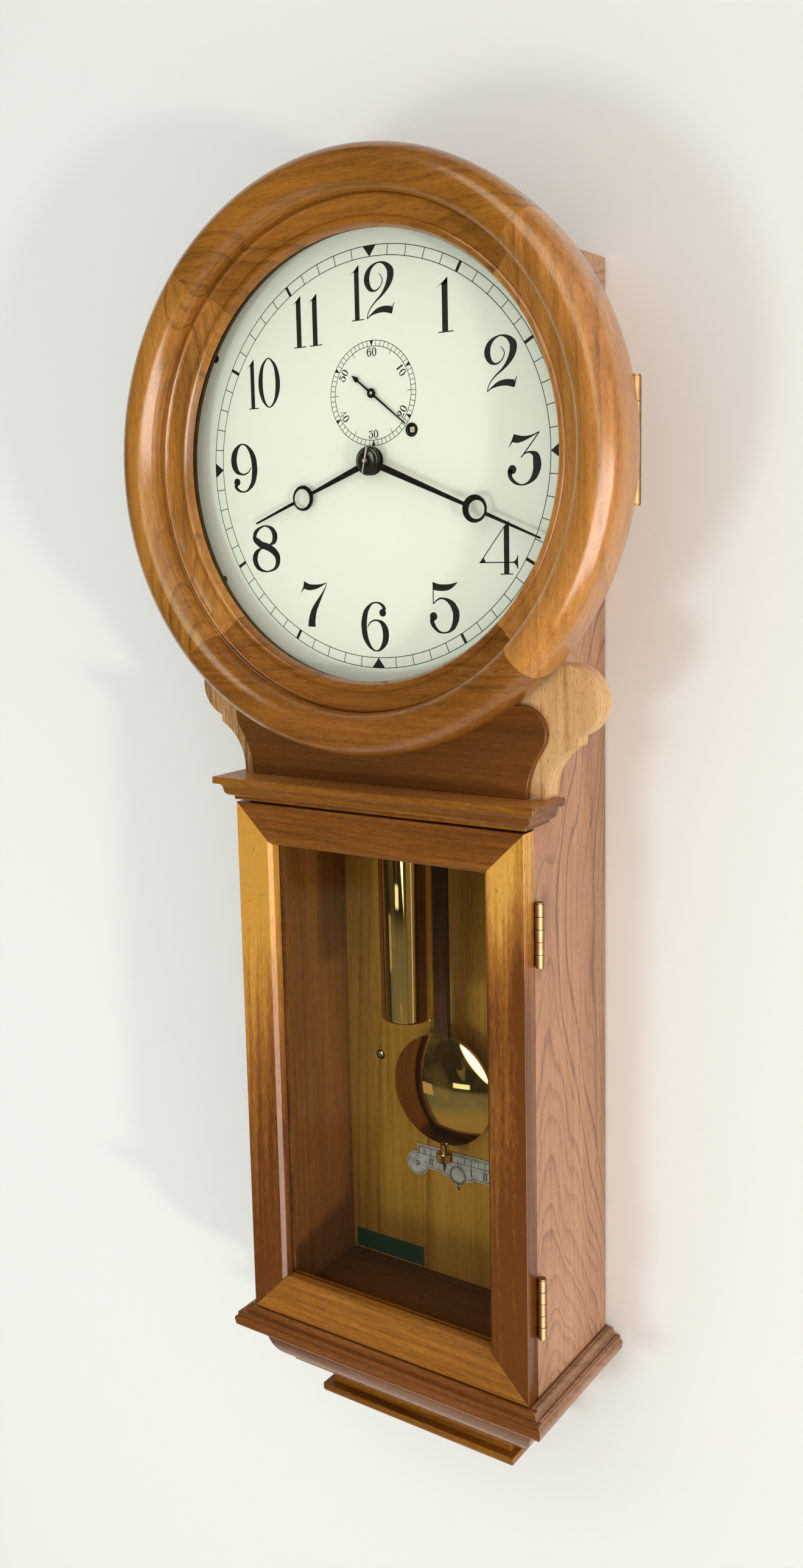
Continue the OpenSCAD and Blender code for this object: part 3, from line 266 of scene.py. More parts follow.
# The backboard is three yellow cedar planks, edge to edge, that stand in the case and hang
# on the wall by a hole near the top. It shows behind the glass of the trunk.
def wood(name, tones, turn, heart, rings=80, taper=0.03, wander=0.02, line=0.5, cloudy=1.0,
         pores=0.4, gloss=0.3, rough=0.42, deepen=(0, 0, 1, 0), belly=0):
    """A board sawn from a log: turn lays the log's length along the grain, heart sets its middle.

    tones run from the early wood to the late wood; the last is the colour in the pores.
    deepen is an axis of the log, two places on it and how much darker the board is at the
    second; belly arches the rings over its middle."""
    finish = new_finish(name)
    log = finish.placed((1, 1, 1), turn, heart)
    drift = finish.noise(finish.placed((2.5, 14, 14), point=log), 1, 2, 0.5, "Color")
    bent = finish.node("VectorMath", {"operation": "MULTIPLY_ADD"}, {0: drift, 1: (0, wander, wander), 2: log})
    radius = finish.node("VectorMath", {"operation": "LENGTH"}, {0: finish.placed((0, 1, 1), point=bent)}, "Value")
    along = finish.node("SeparateXYZ", {}, {0: log})
    axis, start, end, depth = deepen
    darker = finish.node("SeparateXYZ", {}, {0: log}, axis).rise(start, end) * depth
    age = (radius + along * taper - along * along * belly) * rings
    year = finish.node("Math", {"operation": "FRACT"}, {0: age + finish.wave(age * 0.41) * 2.6})
    late = year.rise(0.5, 0.93) * (1 - year.rise(0.94, 1)) * (finish.wave(age * 0.9 + 5).rise(0.3, 0.7) + 0.25)
    cloud = finish.noise(finish.placed((2.6, 20, 20), point=log), 1, 3, 0.55)
    streak = finish.noise(finish.placed((6, 230, 230), point=log), 1, 4, 0.65)
    fleck = finish.noise(finish.placed((120, 620, 620), point=log), 1, 3, 0.6)
    shade = cloud * (1.3 * cloudy) + streak * 0.8 + fleck * 0.5 + late * (0.35 * line) + darker
    colour = finish.node("ValToRGB", {"stops": [
        (0.1, paint(tones[0])), (0.5, paint(tones[1])), (0.9, paint(tones[2]))]},
        {0: shade - (0.15 + 0.65 * cloudy + 0.05 * line + 0.5 * depth)})
    pore = finish.noise(finish.placed((170, 1500, 1500), point=log), 1, 2, 0.6).rise(0.58, 0.68)
    colour = finish.mix(pore * pores, colour, paint(tones[3]))
    return finish.shade({
        "Base Color": colour,
        "Roughness": rough + pore * 0.15,
        "Specular IOR Level": 0.12,
        "Coat Weight": gloss,
        "Coat Roughness": 0.2,
        "Normal": finish.bump(streak * 0.3 - pore, 0.0001, 0.4),
    })


UPRIGHT = (0, math.pi / 2, 0)
LEVEL = (0, 0, 0)


def merged(node):
    """The CAD solid's own surface, joined up and with its flat faces whole."""
    bm = bmesh.new()
    bm.from_mesh(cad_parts[node].data)
    bmesh.ops.remove_doubles(bm, verts=bm.verts, dist=2e-6)
    bmesh.ops.dissolve_limit(
        bm, angle_limit=math.radians(0.6), verts=bm.verts, edges=bm.edges, delimit=set())
    return bm


def piece(name, bm, materials, body, slot, *nodes, ease=0, steps=2, crease=32):
    """A finished piece, which rides on its body if it is given one.

    ease is the width in mm that its sharp edges are rubbed over."""
    mesh = bpy.data.meshes.new(name)
    bm.to_mesh(mesh)
    bm.free()
    obj = bpy.data.objects.new(name, mesh)
    scene.collection.objects.link(obj)
    for material in materials if isinstance(materials, tuple) else (materials,):
        mesh.materials.append(material)
    mesh.shade_smooth()
    if ease:
        rub = obj.modifiers.new("ease", "BEVEL")
        rub.width = ease * MM
        rub.segments = steps
        rub.limit_method = "ANGLE"
        rub.angle_limit = math.radians(crease)
        rub.harden_normals = True
        rub.miter_outer = "MITER_ARC"
    mesh.set_sharp_from_angle(angle=math.radians(crease))
    if body:
        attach(obj, body)
    if nodes:
        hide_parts(*nodes)
    return obj


cedar = wood("yellow cedar", ("c2903a", "ab7c29", "7a5417", "66441c"), UPRIGHT, (0, 0.11, 0.02),
             rings=110, taper=0.02, wander=0.012, line=0.6, cloudy=0.6, pores=0.1, gloss=0.05, rough=0.5)
piece("backboard_planks", merged("backboard"), cedar, "case", "back_wood", "backboard", ease=0.8)

# The sides are plain-sawn walnut boards, set back above the trunk to take the head board.
# The right-hand one shows tall arched figure all the way down.
side_walnut = wood("side walnut", ("c09679", "ac8266", "84614f", "745242"), UPRIGHT, (0.498, 0.062, 0.146),
                   rings=150, taper=0.05, wander=0.075, line=0.95, cloudy=0.7, pores=0.4, gloss=0.1, rough=0.5,
                   belly=0.75)
shaded_inner_walnut = wood("walnut inside the case in painted shade", ("9e682e", "845223", "5e3812", "482709"), UPRIGHT, (0, 0.05, 0.3),
                    rings=60, line=0.5, cloudy=0.6, pores=0.5, gloss=0.05, rough=0.55)
# The faces that look into the case take a darker, browner walnut: painted shade inside the case.
for side, inward in (("left", 1), ("right", -1)):
    board = merged("side_" + side)
    for face in board.faces:
        face.material_index = int(face.normal.x * inward > 0.9)
    piece("side_board_" + side, board, (side_walnut, shaded_inner_walnut), "case", "side_wood", "side_" + side,
          ease=0.7)

# The top, the seat of the movement and the floor of the trunk are let in between the sides;
# they are of a dark stained wood.
dark_walnut = wood("dark walnut", ("6c3c0c", "552d07", "361c04", "281303"), LEVEL, (0, 0.2, 0.1),
                   line=0.4, pores=0.4, gloss=0.1)
for node in ("case_top", "case_floor", "seat_board"):
    piece(node + "_panel", merged(node), dark_walnut, "case", "dark_wood", node, ease=0.6)


# Two slotted screws through the backboard steady the clock on the wall. Their heads lie in countersunk holes and are
# of plain steel; a thin black disc at the floor of each hole is painted shade.
def metal(name, tone, deep, rough, grime=0.3, scale=40):
    """Solid metal with a slow change of tone, as handling and lacquer leave it."""
    finish = new_finish(name)
    cloud = finish.noise(finish.place, scale, 4, 0.6)
    fine = finish.noise(finish.place, 900, 2)
    return finish.shade({
        "Base Color": finish.mix(cloud.rise(0.35, 0.75) * grime, paint(tone), paint(deep)),
        "Metallic": 1.0,
        "Roughness": cloud * (rough * 0.5) + rough,
        "Normal": finish.bump(fine, 0.00001, rough),
    })


TO_ROOM = Matrix.Rotation(math.radians(90), 4, "X")
UPWARD = Matrix.Identity(4)


def turned(profile, centre, axis=UPWARD, steps=96):
    """A profile of (radius, height) in mm, turned once round an axis through centre."""
    bm = bmesh.new()
    verts = [bm.verts.new((r * MM, 0, h * MM)) for r, h in profile]
    edges = [bm.edges.new(pair) for pair in zip(verts, verts[1:])]
    bmesh.ops.spin(bm, geom=verts + edges, cent=(0, 0, 0), axis=(0, 0, 1), angle=2 * math.pi,
                   steps=steps, use_merge=True)
    bmesh.ops.remove_doubles(bm, verts=bm.verts, dist=1e-7)
    bmesh.ops.recalc_face_normals(bm, faces=bm.faces)
    bmesh.ops.transform(bm, matrix=Matrix.Translation(centre) @ axis, verts=bm.verts)
    return bm


def together(*parts):
    """Several loose shapes as one."""
    whole = bmesh.new()
    for part in parts:
        mesh = bpy.data.meshes.new("part")
        part.to_mesh(mesh)
        part.free()
        whole.from_mesh(mesh)
        bpy.data.meshes.remove(mesh)
    return whole


def only_verts(geometry):
    return [v for v in geometry if isinstance(v, bmesh.types.BMVert)]


def slotted_head(centre, radius, rise, slot_turn):
    """The domed head of a screw that faces the room, with a slot sawn across it."""
    bm = turned([(0, rise), (radius * 0.5, rise * 0.88), (radius * 0.85, rise * 0.5), (radius, 0.05),
                 (radius, -0.3), (0, -0.3)], Vector(), UPWARD, 28)
    half_slot = radius * 0.16 * MM
    for side in (-1, 1):
        bmesh.ops.bisect_plane(bm, geom=bm.verts[:] + bm.edges[:] + bm.faces[:], dist=1e-7,
                               plane_co=(side * half_slot, 0, 0), plane_no=(1, 0, 0))
    floor = [f for f in bm.faces
             if abs(f.calc_center_median().x) < half_slot and f.normal.z > 0.2]
    sunk = bmesh.ops.extrude_face_region(bm, geom=floor)["geom"]
    bmesh.ops.translate(bm, vec=(0, 0, -rise * 0.6 * MM), verts=only_verts(sunk))
    bmesh.ops.delete(bm, geom=floor, context="FACES_ONLY")
    bmesh.ops.recalc_face_normals(bm, faces=bm.faces)
    turn = Matrix.Rotation(math.radians(slot_turn), 4, "Z")
    bmesh.ops.transform(bm, matrix=Matrix.Translation(centre) @ TO_ROOM @ turn, verts=bm.verts)
    return bm


steel = metal("bright steel", "c9c6c0", "8f8b84", 0.2)
dark_steel = metal("browned steel", "6d655c", "3d3833", 0.3)
# The flat black below is painted shade: it lines the screw holes and the bezel's rebate.
painted_shade = metal("black painted shade", "1d140c", "120c07", 0.6)
SCREW_X, SCREW_Z = 75, -481
SINK_FLOOR = 11.2
hole_shade_profile = [(0, 11), (4.2, 11), (4.2, 11.1), (3.9, SINK_FLOOR), (0, SINK_FLOOR)]
piece("screw_hole_shade_discs", together(*(turned(hole_shade_profile, at(x, 0, SCREW_Z), TO_ROOM, 32)
                                       for x in (-SCREW_X, SCREW_X))), painted_shade, "case", "dark_wood")
piece("steadying_screws", together(*(slotted_head(at(x, SINK_FLOOR, SCREW_Z), 2.8, 0.9, turn)
                                     for x, turn in ((-SCREW_X, 25), (SCREW_X, 70)))), steel, "case", "steel")

# The head board carries the dial and the bezel. Its ears swell out below the bezel and
# sweep down to the cornice; the grain runs up and down.
ear_walnut = wood("ear walnut", ("dab07c", "c49562", "835f38", "5e4224"), UPRIGHT, (0, 0.15, 0.16),
                  rings=200, taper=0.01, wander=0.008, line=0.7, cloudy=0.8, pores=0.6, gloss=0.2, rough=0.4,
                  deepen=(2, 0, 0.32, 0.5))
piece("ear_board", merged("head_board"), ear_walnut, "case", "board_wood", "head_board", ease=1.0)

# The apron is a thinner shaped board of darker, redder wood, glued on the head board.
apron_walnut = wood("apron walnut", ("83501e", "6e4015", "50300e", "371f08"), LEVEL, (0, 0.1, 0.3),
                    rings=70, line=0.3, cloudy=0.8, pores=0.35, gloss=0.35, rough=0.35)
piece("apron_board_front", merged("apron_board"), apron_walnut, "case", "apron_wood", "apron_board",
      ease=1.2, steps=3)

# The cornice is a mitred moulding that covers the foot of the head board; its upward faces are paler, as painted
# light from above.
# The stepped block at the very foot of the case is of the same golden walnut.
case_walnut = wood("case walnut", ("9a6420", "764512", "4c2b09", "351d06"), LEVEL, (0, 0.1, 0.4),
                   rings=120, line=0.5, pores=0.5, gloss=0.35, rough=0.35)
top_lit_walnut = wood("cornice walnut with painted top light", ("bd8544", "a0692f", "74481c", "5a3612"), LEVEL,
                   (0, 0.1, 0.4), rings=120, line=0.5, pores=0.5, gloss=0.2, rough=0.4)
cornice = merged("cornice")
# Faces that look upward take the paler walnut: painted light from above.
for face in cornice.faces:
    face.material_index = int(face.normal.z > 0.3)
piece("cornice_moulding", cornice, (case_walnut, top_lit_walnut), "case", "case_wood", "cornice", ease=0.5)
piece("base_stepped_block", merged("base_drop"), case_walnut, "case", "case_wood", "base_drop", ease=0.6)

# The base is a mitred moulding round three sides over a rounded tier, glued up under the case. Both are of a redder,
# darker walnut with a soft shine; the two side runs are paler, which is painted light falling on the sides.
base_walnut, side_lit_walnut = (
    wood(name, tones, LEVEL, (0, 0.1, 0.9), rings=100, line=0.4, pores=0.4, gloss=0.5, rough=0.33)
    for name, tones in (("base walnut", ("8c5424", "6e3e17", "4a270c", "351b07")),
                        ("base walnut with painted side light", ("b0896b", "946c50", "6c4a34", "523626"))))
MITRE = 0.04
base = merged("base_moulding")
# The side runs of the moulding take the paler walnut: painted side light.
for face in base.faces:
    spot = face.calc_center_median()
    face.material_index = int(abs(spot.x) > abs(spot.y) + MITRE)
piece("base_mitred_moulding", base, (base_walnut, side_lit_walnut), "case", "base_wood", "base_moulding", ease=0.5)
piece("base_round_tier", merged("base_tier"), base_walnut, "case", "base_wood", "base_tier", ease=0.6)


# The dial is sheet metal with a rolled edge, enamelled a greenish cream. Its numerals, minute
# track and seconds ring are printed in black, and four browned screws hold it.
def finished(material, *nodes):
    """A CAD piece whose own shape is right takes the material as it stands."""
    for node in nodes:
        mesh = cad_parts[node].data
        mesh.materials.clear()
        mesh.materials.append(material)


enamel = new_finish("cream dial enamel")
haze = enamel.noise(enamel.place, 14, 3)
enamel_coat = enamel.shade({
    "Base Color": enamel.mix(haze.rise(0.3, 0.7), paint("f7fae9"), paint("f4f8e5")),
    "Roughness": haze * 0.1 + 0.35,
    "Coat Weight": 0.15,
    "Coat Roughness": 0.25,
})
finished(enamel_coat, "dial_plate")

DIAL_FACE = 110
PRINT = 0.06
SECONDS_RISE, SECONDS_ANGLE = 46.3, 129


def smooth(points, steps=7):
    """One easy curve through points of (x, z, half width). A first point met again closes it."""
    path = [Vector(p) for p in points]
    closed = points[0] == points[-1]
    first = path[-2] if closed else 2 * path[0] - path[1]
    last = path[1] if closed else 2 * path[-1] - path[-2]
    ends = [first] + path + [last]
    curve = []
    for before, start, end, after in zip(ends, ends[1:], ends[2:], ends[3:]):
        reach = (end - before) / 6, (after - start) / 6
        curve += interpolate_bezier(start, start + reach[0], end - reach[1], end, steps + 1)[:-1]
    return curve + [path[-1]]


def band(bm, one, other):
    """A ribbon of print between two rails of points."""
    edges = []
    for rail in (one, other):
        verts = [bm.verts.new(p) for p in rail]
        edges += [bm.edges.new(pair) for pair in zip(verts, verts[1:])]
    return bmesh.ops.bridge_loops(bm, edges=edges)["faces"]


def printed(bm, faces):
    """Print stands a hair proud: the flat faces become thin closed shapes."""
    raised = bmesh.ops.extrude_face_region(bm, geom=faces)["geom"]
    bmesh.ops.translate(bm, vec=(0, -PRINT * MM, 0), verts=only_verts(raised))


class Lettering:
    """Strokes of ink on a face. spot turns the 100 by 100 box of one numeral into its place."""

    def __init__(self, face_out):
        self.bm = bmesh.new()
        self.out = face_out - 0.02
        self.spot = None
        self.broad = 1
        self.bold = 0

    def box(self, left, foot, width, height, turn=0, about=(0, 0)):
        """Sets the box of the next numeral, turned clockwise about a point."""
        angle = math.radians(turn)
        self.broad = width / 100

        def spot(x, z):
            dx, dz = left + x * width / 100, foot + z * height / 100
            return Vector((about[0] + dx * math.cos(angle) + dz * math.sin(angle),
                           about[1] - dx * math.sin(angle) + dz * math.cos(angle)))
        self.spot = spot

    def lay(self, flat):
        return at(flat[0], self.out, flat[1])

    def stroke(self, points):
        """A line of changing width through points of (x, z, half width)."""
        curve = smooth(points)
        middle = [self.spot(p[0], p[1]) for p in curve]
        closed = points[0] == points[-1]
        rails = [], []
        for i, (p, here) in enumerate(zip(curve, middle)):
            before = middle[i - 1] if i else (middle[-2] if closed else here)
            after = middle[i + 1] if i + 1 < len(middle) else (middle[1] if closed else here)
            way = (after - before).normalized()
            side = Vector((-way[1], way[0])) * (p[2] * self.broad + self.bold)
            rails[0].append(self.lay(here + side))
            rails[1].append(self.lay(here - side))
        printed(self.bm, band(self.bm, *rails))

    def blade(self, upper, lower):
        """A flat sweep between two curves."""
        rails = []
        for points in (upper, lower):
            path = smooth([(x, z, 0) for x, z in points], 6)
            rails.append([self.lay(self.spot(p[0], p[1])) for p in path])
        printed(self.bm, band(self.bm, *rails))

    def patch(self, *corners):
        face = self.bm.faces.new([self.bm.verts.new(self.lay(self.spot(*c))) for c in corners])
        printed(self.bm, [face])

    def ball(self, x, z, radius, squash):
        rim = [(x + radius * math.cos(a), z + radius * squash * math.sin(a))
               for a in (math.radians(15 * k) for k in range(24))]
        self.patch(*rim)

    def numeral(self, digit):
        for kind, *parts in FIGURES[digit]:
            getattr(self, kind)(*parts)

    def line(self, x0, z0, x1, z1, half):
        """A straight line in mm."""
        self.box(0, 0, 100, 100)
        self.stroke([(x0, z0, half), ((x0 + x1) / 2, (z0 + z1) / 2, half), (x1, z1, half)])

    def circle(self, x, z, radius, half):
        loops = [bmesh.ops.create_circle(
            self.bm, segments=180, radius=(radius + side * half) * MM,
            matrix=Matrix.Translation(at(x, self.out, z)) @ TO_ROOM)["verts"] for side in (-1, 1)]
        edges = {e for verts in loops for v in verts for e in v.link_edges}
        printed(self.bm, bmesh.ops.bridge_loops(self.bm, edges=list(edges))["faces"])

    def done(self):
        bmesh.ops.remove_doubles(self.bm, verts=self.bm.verts, dist=1e-8)
        bmesh.ops.recalc_face_normals(self.bm, faces=self.bm.faces)
        return self.bm


SIX = [
    ("stroke", [(86, 84, 6), (80, 92, 5), (66, 98, 3), (51, 98.8, 2.2), (36, 95, 3.6), (18, 80.7, 8),
                (10.6, 60.7, 10), (10, 49.3, 10), (13, 32, 9.6), (23, 16.4, 7), (38, 5, 3.6), (53.4, 1.3, 2),
                (68.5, 5, 4.5), (83.6, 18, 9.5), (88.7, 33.6, 10.8), (85, 48, 10), (75, 58, 6.5),
                (61, 62.5, 3), (48, 63, 2.4), (33, 58.5, 2), (22.7, 49.3, 1.4)]),
    ("ball", 78.6, 78.6, 12, 0.66),
]


def half_turned(parts):
    """The same numeral stood on its head."""
    over = {
        "stroke": lambda points: ([(100 - x, 100 - z, w) for x, z, w in points],),
        "ball": lambda x, z, radius, squash: (100 - x, 100 - z, radius, squash),
    }
    return [(kind, *over[kind](*rest)) for kind, *rest in parts]


FIGURES = {
    "1": [("patch", (34, 2), (68, 2), (68, 100), (34, 88)),
          ("blade", [(0, 82.5), (36, 90.5), (67.5, 100)], [(1, 82.8), (34, 87.5), (67.5, 88)]),
          ("patch", (11, 0), (100, 0), (100, 2), (11, 2))],
    "2": [("stroke", [(47.9, 79.4, 0.8), (56.6, 74.6, 1.2), (60.5, 66.9, 1.5), (55.8, 57.7, 1.5),
                      (44.7, 51.4, 2), (32.1, 49.3, 2.8), (17.1, 54.9, 6.5), (8.7, 69, 9.2), (13.7, 83.8, 7.5),
                      (28.9, 94.4, 4), (50, 98.9, 2), (69.7, 95.1, 5), (84.2, 85.9, 9.5), (87.9, 77.5, 10.7),
                      (84.2, 64.8, 9.5), (72.4, 51.4, 6.5), (55.3, 39.4, 3.5), (36.8, 30.3, 2.2),
                      (21, 20.4, 1.6), (11.8, 11.3, 1.4), (7.4, 1.4, 1.2)]),
          ("blade", [(7.4, 2), (23.7, 10.6), (42, 18), (65.8, 20.6), (90.8, 18.6)],
           [(7.4, 0.3), (23.7, 6.2), (44.7, 9), (65.8, 9), (89.5, 4.9)]),
          ("stroke", [(99, 25.1, 0.8), (94.5, 19, 1.5), (91, 11, 2), (89.5, 5.5, 1)])],
    "3": [("blade", [(20.8, 96.8), (47.4, 92.6), (71.6, 93.7), (96.5, 100)],
           [(14.5, 82.1), (33.6, 80.4), (57.8, 85.3), (92.4, 96.8)]),
          ("stroke", [(20.8, 96.4, 1), (14.5, 84, 2), (4.8, 73, 0.8)]),
          ("stroke", [(94.5, 97.9, 1.6), (68, 75, 1.6), (41.2, 52.6, 1.6)]),
          ("stroke", [(42, 53.5, 1.4), (52.6, 60, 1.8), (68.2, 61.5, 3), (83.7, 55.8, 9), (88.2, 42.1, 12),
                      (87.2, 29.5, 11), (78.5, 14.7, 8), (61.2, 4.2, 3.5), (42.2, 0.9, 2), (23.2, 5.3, 4),
                      (10, 14.7, 5.5), (6.6, 25.3, 6.5), (8.5, 31, 6)]),
          ("ball", 14.5, 30.5, 12.1, 0.72)],
    "4": [("patch", (63.7, 2), (77, 2), (77.4, 100), (63.7, 88.7)),
          ("patch", (54.5, 0), (86.4, 0), (86.4, 2), (54.5, 2)),
          ("stroke", [(64.8, 88.7, 1.1), (33, 55.2, 1.1), (1.5, 21.8, 1.1)]),
          ("patch", (11, 32), (2, 21.8), (17, 23.9)),
          ("patch", (0.4, 21.6), (90, 21.6), (90, 23.6), (0.4, 23.6)),
          ("stroke", [(98.5, 35.3, 1.2), (98, 23, 1.2), (98.5, 10.7, 1.2)]),
          ("blade", [(77, 23.6), (89, 24.4), (96, 31), (97.5, 35)], [(77, 21.8), (89, 21), (95, 16), (97.5, 11)])],
    "5": [("blade", [(11.8, 99.5), (32.8, 95.4), (60.8, 94.9), (78, 96.5), (95.8, 99.5)],
           [(13.7, 84.2), (32.8, 82.2), (60.8, 83.1), (80.4, 89.8), (95.8, 99.3)]),
          ("stroke", [(12.6, 99, 1.6), (12.6, 78, 1.6), (12.6, 57, 1.6)]),
          ("stroke", [(13.5, 57, 1.4), (22, 63, 2), (34, 67.3, 2.6), (46, 67.6, 2.6), (62, 64, 5.5), (77, 56, 9),
                      (87, 44, 10.7), (88.8, 36.4, 10.7), (87, 26, 10), (78, 12, 7), (63, 3.4, 3), (47, 1.2, 2.2),
                      (31, 3.2, 3.4), (17, 11, 5.5), (8.5, 20, 7), (7.3, 28, 7)]),
          ("ball", 12.6, 32.7, 12.6, 0.66)],
    "6": SIX,
    "7": [("blade", [(14.2, 99.7), (33.5, 93.3), (56.7, 92.3), (77.3, 93.3), (99.2, 97.2)],
           [(10.3, 83.3), (33.5, 80), (56.7, 82.3), (77.3, 87.8), (98, 96)]),
          ("stroke", [(16, 99, 1.2), (11, 84, 2.2), (1, 75, 0.8)]),
          ("stroke", [(98, 95, 1), (95.5, 90, 1.4), (88, 80, 2.2), (77, 68, 4), (62, 52, 7), (50, 38, 9.5),
                      (43, 24, 11.5), (39.5, 12, 12.5), (38.7, 1, 14)])],
    "8": [("stroke", [(46, 98.8, 1.9), (29, 94, 3.5), (15, 86, 6), (9.7, 76.3, 6.3), (12, 70, 8), (20, 65.6, 9.5),
                      (34, 58.5, 10), (55, 53.9, 10), (75.7, 45.8, 10), (88.5, 35.7, 9.5), (91.7, 26, 8.3),
                      (88, 14.5, 6.5), (75.7, 5.8, 3.5), (53, 1.2, 1.9)]),
          ("stroke", [(53, 1.2, 1.9), (33, 4, 4), (17, 12, 7), (8.7, 26, 8.7), (12, 38, 8), (22, 46.5, 5),
                      (35, 51.2, 2)]),
          ("stroke", [(46, 98.8, 1.9), (62, 96.5, 3.5), (76, 89.5, 7), (83.3, 77.2, 9), (80, 66, 7.5), (72, 61, 4.5),
                      (64, 58.5, 2)])],
    "9": half_turned(SIX),
    "0": [("stroke", [(49, 98.9, 2.1), (33, 93, 4), (20, 82, 6.5), (12.5, 66, 9), (10.1, 50, 10.1), (12, 34, 9.5),
                      (20, 18, 7), (33, 6.5, 4), (49, 1.1, 2.1), (65, 6.5, 4), (79, 18, 7), (87.5, 34, 9.8),
                      (89.7, 50, 10.3), (87, 66, 9.3), (79, 82, 6.5), (65, 93, 4), (49, 98.9, 2.1)])],
}

# Each hour's box on the dial, by its left, right, foot and top edges; two figures share one
# box in the shares that are given.
HOURS = {
    1: (53.0, 66.4, 81.4, 117.1), 2: (89.6, 114.1, 39.9, 75.7), 3: (105.9, 130.7, -21.3, 12.8),
    4: (83.7, 113.4, -79.3, -43.6), 5: (43.7, 67.7, -119.4, -83.9), 6: (-14.3, 9.4, -133.4, -98.2),
    7: (-68.1, -43.7, -117.0, -83.2), 8: (-112.4, -86.2, -76.7, -41.9), 9: (-130.1, -105.1, -17.1, 18.6),
    10: (-111.9, -81.1, 42.9, 78.6), 11: (-68.6, -42.1, 82.7, 118.7), 12: (-17.1, 20.0, 96.2, 133.5),
}
SHARES = {10: (0.33, 0.65), 11: (0.46, 0.46), 12: (0.31, 0.67)}
dial_print = Lettering(DIAL_FACE)
for hour, (left, edge, foot, top) in HOURS.items():
    width = edge - left
    figures = str(hour)
    shares = SHARES.get(hour, (1,))
    starts = (left, edge - width * shares[-1])
    for digit, share, start in zip(figures, shares, starts):
        dial_print.box(start, foot, width * share, top - foot)
        dial_print.numeral(digit)

TRACK_OUT, TRACK_IN = 145.1, 137.8
for radius in (TRACK_OUT, TRACK_IN):
    dial_print.circle(0, 0, radius, 0.26)
for minute in range(60):
    angle = math.radians(6 * minute)
    way = math.sin(angle), math.cos(angle)
    if minute % 15 == 0:
        dial_print.box(0, 0, 100, 100, 6 * minute)
        dial_print.patch((-5.5, TRACK_OUT), (5.5, TRACK_OUT), (0, TRACK_IN))
    else:
        half = 1.1 if minute % 5 == 0 else 0.28
        dial_print.line(way[0] * TRACK_IN, way[1] * TRACK_IN, way[0] * TRACK_OUT, way[1] * TRACK_OUT,
                        half)

RING_OUT, RING_IN = 35.7, 31.9
for radius in (RING_OUT, RING_IN):
    dial_print.circle(0, SECONDS_RISE, radius, 0.22)
for second in range(60):
    dial_print.box(0, 0, 100, 100, 6 * second, (0, SECONDS_RISE))
    if second % 10 == 0:
        dial_print.patch((-1.5, RING_OUT), (1.5, RING_OUT), (0, RING_IN - 0.4))
    else:
        inner = RING_IN - 3 if second % 5 == 0 else RING_IN
        dial_print.patch((-0.2, RING_OUT), (0.2, RING_OUT), (0.2, inner), (-0.2, inner))
dial_print.bold = 0.16
for second, turn in ((60, 0), (10, 60), (20, -60), (30, 0), (40, 60), (50, -60)):
    angle = math.radians(6 * second)
    middle = Vector((math.sin(angle), math.cos(angle))) * 27.9
    for digit, start in zip(str(second), (-3.9, 0.4)):
        dial_print.box(start, -2.9, 3.5, 5.8, turn, (middle[0], SECONDS_RISE + middle[1]))
        dial_print.numeral(digit)

ink = new_finish("black printing ink")
wear = ink.noise(ink.place, 500, 2)
printers_ink = ink.shade({
    "Base Color": ink.mix(wear, paint("111111"), paint("1b1b19")),
    "Roughness": wear * 0.1 + 0.45,
})
piece("dial_print", dial_print.done(), printers_ink, "case", "line")
DIAL_SCREW_X, DIAL_SCREW_Z = 141, 82
heads = [slotted_head(at(x * DIAL_SCREW_X, DIAL_FACE + 0.1, z * DIAL_SCREW_Z), 2.9, 1.1, turn)
         for x, z, turn in ((-1, 1, 40), (1, 1, 115), (-1, -1, 75), (1, -1, 10))]
piece("dial_slotted_screws", together(*heads), dark_steel, "case", "steel", "dial_screws")


# The winding hole is bushed with a black ferrule. The square of the winding arbor ends just
# behind it, in bright steel.
black = new_finish("black hand enamel")
grit = black.noise(black.place, 300, 2)
black_enamel = black.shade({
    "Base Color": black.mix(grit, paint("0b0b0c"), paint("191817")),
    "Roughness": grit * 0.1 + 0.22,
    "Coat Weight": 0.4,
    "Coat Roughness": 0.1,
})
WIND_X, WIND_Z = 31.8, 19.6
piece("winding_hole_ferrule", turned(
    [(3, 107.6), (4.4, 107.6), (4.4, 110), (4.85, 110), (4.8, 110.5), (4.5, 110.9), (3.9, 111),
     (3.3, 110.8), (3, 110.4), (3, 107.6)], at(WIND_X, 0, WIND_Z), TO_ROOM, 48),
    black_enamel, "case", "black_paint", "winding_ferrule")
square = bmesh.new()
bmesh.ops.create_cube(square, size=1, matrix=Matrix.Translation(at(WIND_X, 104.6, WIND_Z)) @ Matrix.Diagonal(
    (4 * MM, 10 * MM, 4 * MM, 1)))
filed_steel = metal("filed steel", "f2f0ec", "cdc9c3", 0.55)
piece("winding_square", square, filed_steel, "drum", "steel", ease=0.4)

